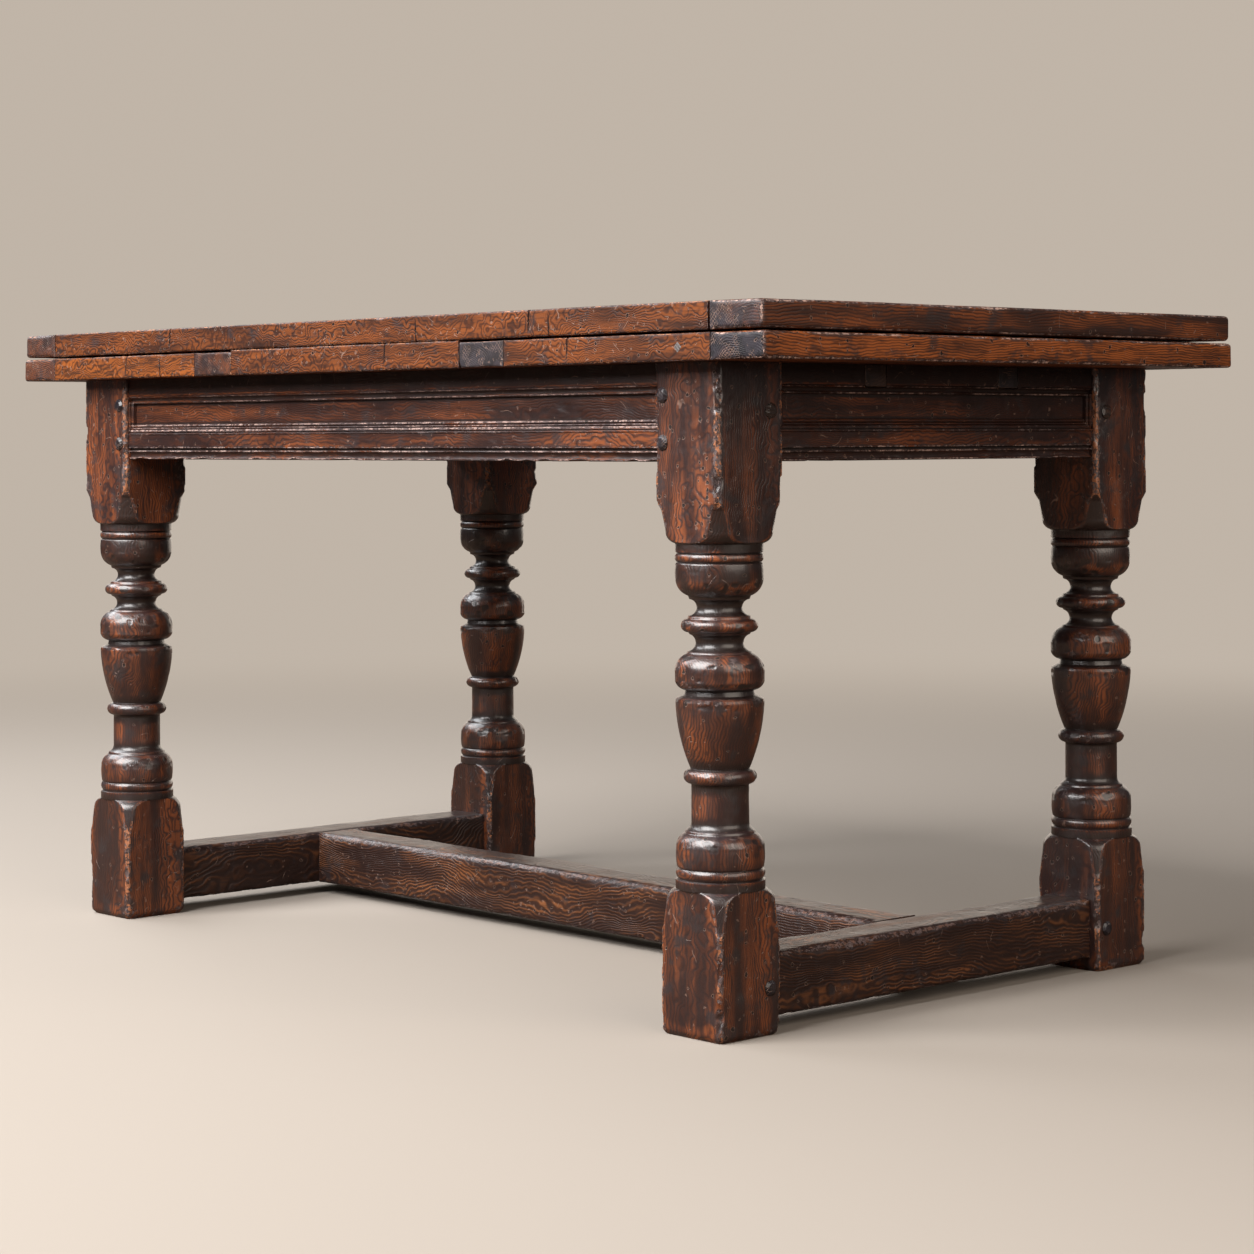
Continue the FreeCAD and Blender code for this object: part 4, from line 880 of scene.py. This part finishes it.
def cleat(name, body, seed, inner_side, joint_edge, material, edge):
    """A cleat across the planks, tight against them on its inner side."""
    low, high = (np.array(corner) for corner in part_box(name))
    board(name, low, high, Y, body, material, seed, [(X, inner_side)], joint_edge, 45 * MM,
          0.6 * MM, edge)


CROSS_GAP = 0.4 * MM
OPEN_CROSS_GAP = 6 * CROSS_GAP
# place along the table and depth of the cracks in the front edges
TOP_CRACKS = ((-0.352, 2 * MM), (0.143, 1.6 * MM), (0.339, 2.6 * MM), (0.372, 1.2 * MM))
LEAF_CRACKS = {"left": ((-0.452, 1 * MM), (-0.375, 1.6 * MM)), "right": ((0.402, 1.2 * MM),)}
BOARD_CRACKS = ((0.085, 1.4 * MM),)
top_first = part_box("top_cleat_left")[1].x + CROSS_GAP
top_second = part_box("top_cleat_right")[0].x - OPEN_CROSS_GAP
planks("top", top_first, top_second, "main_top", TOP_SEED, OPEN_JOINT, TOP_CRACKS)
cleat("top_cleat_right", "main_top", TOP_CLEAT_SEED, 0, OPEN_JOINT, CLEAT_OAK, CORNER)
cleat("top_cleat_left", "main_top", TOP_CLEAT_SEED + 1, 1, TIGHT_JOINT, BROWN_CLEAT, CORNER)
board_low, board_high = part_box("centre_board_plank_1")
planks("centre_board", board_low.x, board_high.x, "frame", CENTRE_BOARD_SEED, OPEN_JOINT, BOARD_CRACKS)
for end, x_side in ENDS.items():
    leaf = f"{end}_leaf"
    seed = LEAF_SEED + 10 * x_side
    inner_low, inner_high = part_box(f"{end}_leaf_inner_cleat")
    outer_low, outer_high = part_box(f"{end}_leaf_outer_cleat")
    first = min(inner_high.x, outer_high.x) + CROSS_GAP
    second = max(inner_low.x, outer_low.x) - CROSS_GAP
    on_right = x_side > 0
    plank_finish = BOARD_OAK if on_right else GOLDEN_BOARD
    outer_finish = GOLDEN_CLEAT if on_right else BROWN_CLEAT
    inner_finish = CLEAT_OAK if on_right else BROWN_CLEAT
    planks(leaf, first, second, leaf, seed, TIGHT_JOINT, LEAF_CRACKS[end], plank_finish)
    cleat(f"{leaf}_outer_cleat", leaf, seed + 5, int(not on_right), TIGHT_JOINT, outer_finish, CORNER)
    cleat(f"{leaf}_inner_cleat", leaf, seed + 6, int(on_right), TIGHT_JOINT, inner_finish, EDGE)
    for side in SIDES:
        name = f"{end}_leaf_loper_{side}"
        low, high = (np.array(corner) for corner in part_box(name))
        points, quads, worn = worn_block(low, high, LOPER_SPACING, LOPER_EDGE, seed + 7, chip=LOPER_CHIP)
        pith = pith_beside(points, X, seed + 8, 40 * MM)
        piece(name + "_oak", points, quads, worn, X, pith, INSIDE_OAK, leaf, [name])


# pegs
PEG_RADIUS = 8.25 * MM
PEG_PROUD = 3 * MM
PEG_SHANK = 8 * MM
PEG_SIDES = 24
PEG_FACETS = 7
PEG_SHARP = 9
# radius of each ring of points, as a share of the peg's, from the shank's end to the middle of the head
PEG_RINGS = np.array([1, 1, 0.97, 0.88, 0.75, 0.6, 0.42, 0.22, 0.06])[:, None]


def peg_head(centre, outward, seed):
    """A whittled peg: its head is the lower envelope of a few slanted flats and one nearly level one, over a
    round shank that runs back into the wood."""
    outward = np.array(outward, float)
    right = np.cross(outward, (0, 0, 1))
    up = np.cross(right, outward)
    angle = np.linspace(0, 2 * math.pi, PEG_SIDES, endpoint=False)
    ring = PEG_RADIUS * PEG_RINGS * (1 + 0.03 * np.cos(PEG_FACETS * angle + seed))
    facet = np.arange(PEG_FACETS)
    flats = facet + 0.35 * lattice(np.stack([facet] * 3, -1), seed)
    flats = flats * 2 * math.pi / PEG_FACETS
    reach = ring[..., None] * np.cos(angle[:, None] - flats)
    slanted = PEG_PROUD - 0.8 * (reach - 0.58 * PEG_RADIUS)
    level = PEG_PROUD - 0.08 * ring * np.cos(angle - seed)
    rise = np.minimum(slanted.min(-1), level)
    rise = np.clip(rise, 0.12 * PEG_PROUD, PEG_PROUD)
    rise[0] = -PEG_SHANK
    spot = ring[..., None] * (np.cos(angle)[:, None] * right + np.sin(angle)[:, None] * up)
    points = np.asarray(centre) + spot + rise[..., None] * outward
    worn = np.where(PEG_RINGS < 0.93, 0.1, -0.6) + 0 * rise
    return points.reshape(-1, 3), carried_quads(len(PEG_RINGS), PEG_SIDES), worn.ravel()


def pegs(node, places, along):
    """All the pegs of one solid node, as one piece: each place is a centre on the surface and the way out."""
    points, quads, worn = [], [], []
    count = 0
    for number, (centre, outward) in enumerate(places):
        some_points, some_quads, some_worn = peg_head(centre, outward, number)
        points.append(some_points)
        quads.append(some_quads + count)
        worn.append(some_worn)
        count += len(some_points)
    points, quads, worn = np.concatenate(points), np.concatenate(quads), np.concatenate(worn)
    piece(node + "_oak", points, quads, worn, along, (0, 0, 0), PEG_OAK, "frame", [node],
          PEG_SHARP)


# how far from the middle of the table each peg is, and its level
LONG_RAIL_PEGS = (0.517, (0.6655, 0.616))
END_RAIL_PEG = (0.2745, 0.649)
STRETCHER_PEG = (0.2755, 0.0495)
foot_face = foot_axis_x + FOOT_WIDTH / 2
rail_places = []
foot_places = []
for x_side in ENDS.values():
    for y_side in SIDES.values():
        for level in LONG_RAIL_PEGS[1]:
            rail_places.append(((x_side * LONG_RAIL_PEGS[0], y_side * -leg_low.y, level), (0, y_side, 0)))
        on_block = (x_side * leg_high.x, y_side * END_RAIL_PEG[0], END_RAIL_PEG[1])
        rail_places.append((on_block, (x_side, 0, 0)))
        on_foot = (x_side * foot_face, y_side * STRETCHER_PEG[0], STRETCHER_PEG[1])
        foot_places.append((on_foot, (x_side, 0, 0)))
pegs("rail_pegs", rail_places, Y)
pegs("stretcher_pegs", foot_places, X)


EDGE_PEG_SPACING = (1.5 * MM, 4 * MM, 1.5 * MM)


def edge_peg():
    """The square peg set cornerwise in a leaf's edge: a small worn block, turned by an eighth about its
    length."""
    low, high = (np.array(corner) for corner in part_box("right_leaf_edge_peg"))
    middle = (low + high) / 2
    half = (high - low) / 2
    side = half[X] / math.sqrt(2)
    square = np.array([side, half[Y], side])
    points, quads, worn = worn_block(-square, square, EDGE_PEG_SPACING, 1.8 * MM, EDGE_PEG_SEED,
                                     chip=0.6 * MM, hollow=0.2 * MM)
    turn = math.sqrt(0.5)
    across, up = points[:, X].copy(), points[:, Z].copy()
    points[:, X], points[:, Z] = turn * (across - up), turn * (across + up)
    piece("right_leaf_edge_peg_oak", points + middle, quads, worn, Y, middle + 30 * MM, PALE_PEG,
          "right_leaf", ["right_leaf_edge_peg"])


edge_peg()

# solids that stay as they are
for name, node in frame["nodes"].items():
    if not node.hide_render:
        finish = SCREW_IRON if name.endswith("screws") else HIDDEN_OAK
        node.data.materials.clear()
        node.data.materials.append(finish)


# stage
FLOOR_TONE = (0.36, 0.32, 0.28)
FLOOR_BOUNCE = (0.1, 0.07, 0.052)
BACKDROP_TONE = (0.53, 0.46, 0.39)
SKY_TONE = (0.95, 0.97, 1.0)
SKY_STRENGTH = 0.055
FLOOR_REACH = 40.0
FLOOR_FADE = (1.6, 5.0)


def floor():
    """A wide level floor whose far part fades into the backdrop's tone for the camera."""
    corners = [(x * FLOOR_REACH, y * FLOOR_REACH, 0) for x, y in ((-1, -1), (1, -1), (1, 1), (-1, 1))]
    mesh = bpy.data.meshes.new("floor")
    mesh.from_pydata(corners, [], [(0, 1, 2, 3)])
    made = bpy.data.objects.new("floor", mesh)
    bpy.context.scene.collection.objects.link(made)
    bench = Bench("floor")
    tree = bench.tree
    away = bench.vector("LENGTH", bench.place())["Value"]
    seen = add(tree, "ShaderNodeLightPath").outputs["Is Camera Ray"]
    lit = add(tree, "ShaderNodeBsdfDiffuse", {"Color": bench.mix(seen, FLOOR_BOUNCE, FLOOR_TONE)}).outputs[0]
    tone = add(tree, "ShaderNodeEmission", {"Color": (*BACKDROP_TONE, 1)}).outputs[0]
    share = bench.times(bench.between(away, *FLOOR_FADE), seen)
    mixed = add(tree, "ShaderNodeMixShader", {0: share, 1: lit, 2: tone}).outputs[0]
    output = add(tree, "ShaderNodeOutputMaterial")
    tree.links.new(mixed, output.inputs["Surface"])
    mesh.materials.append(bench.material)


def world():
    """Even soft light from all round; the camera sees the backdrop's tone instead."""
    made = bpy.data.worlds.new("studio")
    bpy.context.scene.world = made
    made.use_nodes = True
    tree = made.node_tree
    tree.nodes.clear()
    light = add(tree, "ShaderNodeBackground", {"Color": (*SKY_TONE, 1), "Strength": SKY_STRENGTH}).outputs[0]
    tone = add(tree, "ShaderNodeBackground", {"Color": (*BACKDROP_TONE, 1), "Strength": 1.0}).outputs[0]
    seen = add(tree, "ShaderNodeLightPath").outputs["Is Camera Ray"]
    mixed = add(tree, "ShaderNodeMixShader", {0: seen, 1: light, 2: tone}).outputs[0]
    output = add(tree, "ShaderNodeOutputWorld")
    tree.links.new(mixed, output.inputs["Surface"])


def lamp(name, place, target, size, power, colour):
    """A soft rectangular lamp that faces a point."""
    data = bpy.data.lights.new(name, "AREA")
    data.shape = "RECTANGLE"
    data.size, data.size_y = size
    data.energy = power
    data.color = colour
    made = bpy.data.objects.new(name, data)
    bpy.context.scene.collection.objects.link(made)
    away = np.array(place) - np.array(target)
    turn = math.atan2(away[X], -away[Y])
    tilt = math.atan2(math.hypot(away[X], away[Y]), away[Z])
    made.matrix_world = (Matrix.Translation(place) @ Matrix.Rotation(turn, 4, "Z")
                         @ Matrix.Rotation(tilt, 4, "X"))
    made.visible_camera = False


floor()
world()
lamp("key", (-0.3, -3.3, 3.1), (0, -0.2, 0.4), (3.4, 3.0), 415, (1.0, 0.98, 0.97))
lamp("side", (-3.0, -0.6, 3.2), (0, 0, 0.5), (3.4, 2.4), 150, (0.95, 0.97, 1.0))
lamp("fill", (4.5, -0.3, 2.4), (0.3, 0, 0.4), (4.4, 3.2), 122, (1.0, 0.88, 0.77))
lamp("wall", (-3.2, 3.6, 0.9), (0, 0, 0.3), (6.0, 1.8), 38, (1.0, 0.87, 0.74))

# camera, as fitted to the photograph: level but for a slight roll, its horizon above the picture's middle
PHOTO_SIDE = 1254
HORIZON_ROW = 436.7
FOCAL_PIXELS = 3004.7
SENSOR = 36.0
CAMERA_PLACE = (2.8084, -2.4786, 0.6225)
CAMERA_AZIMUTH = 47.8
CAMERA_ROLL = -0.24


def camera():
    """The camera of the photograph, whose shift raises the horizon."""
    data = bpy.data.cameras.new("camera")
    data.sensor_width = SENSOR
    data.lens = SENSOR * FOCAL_PIXELS / PHOTO_SIDE
    data.shift_y = (HORIZON_ROW - PHOTO_SIDE / 2) / PHOTO_SIDE
    made = bpy.data.objects.new("camera", data)
    bpy.context.scene.collection.objects.link(made)
    turn = Matrix.Rotation(math.radians(CAMERA_AZIMUTH), 4, "Z") @ Matrix.Rotation(math.pi / 2, 4, "X")
    roll = Matrix.Rotation(math.radians(CAMERA_ROLL), 4, "Z")
    made.matrix_world = Matrix.Translation(CAMERA_PLACE) @ turn @ roll
    bpy.context.scene.camera = made


camera()
bpy.context.scene.view_settings.view_transform = "Standard"
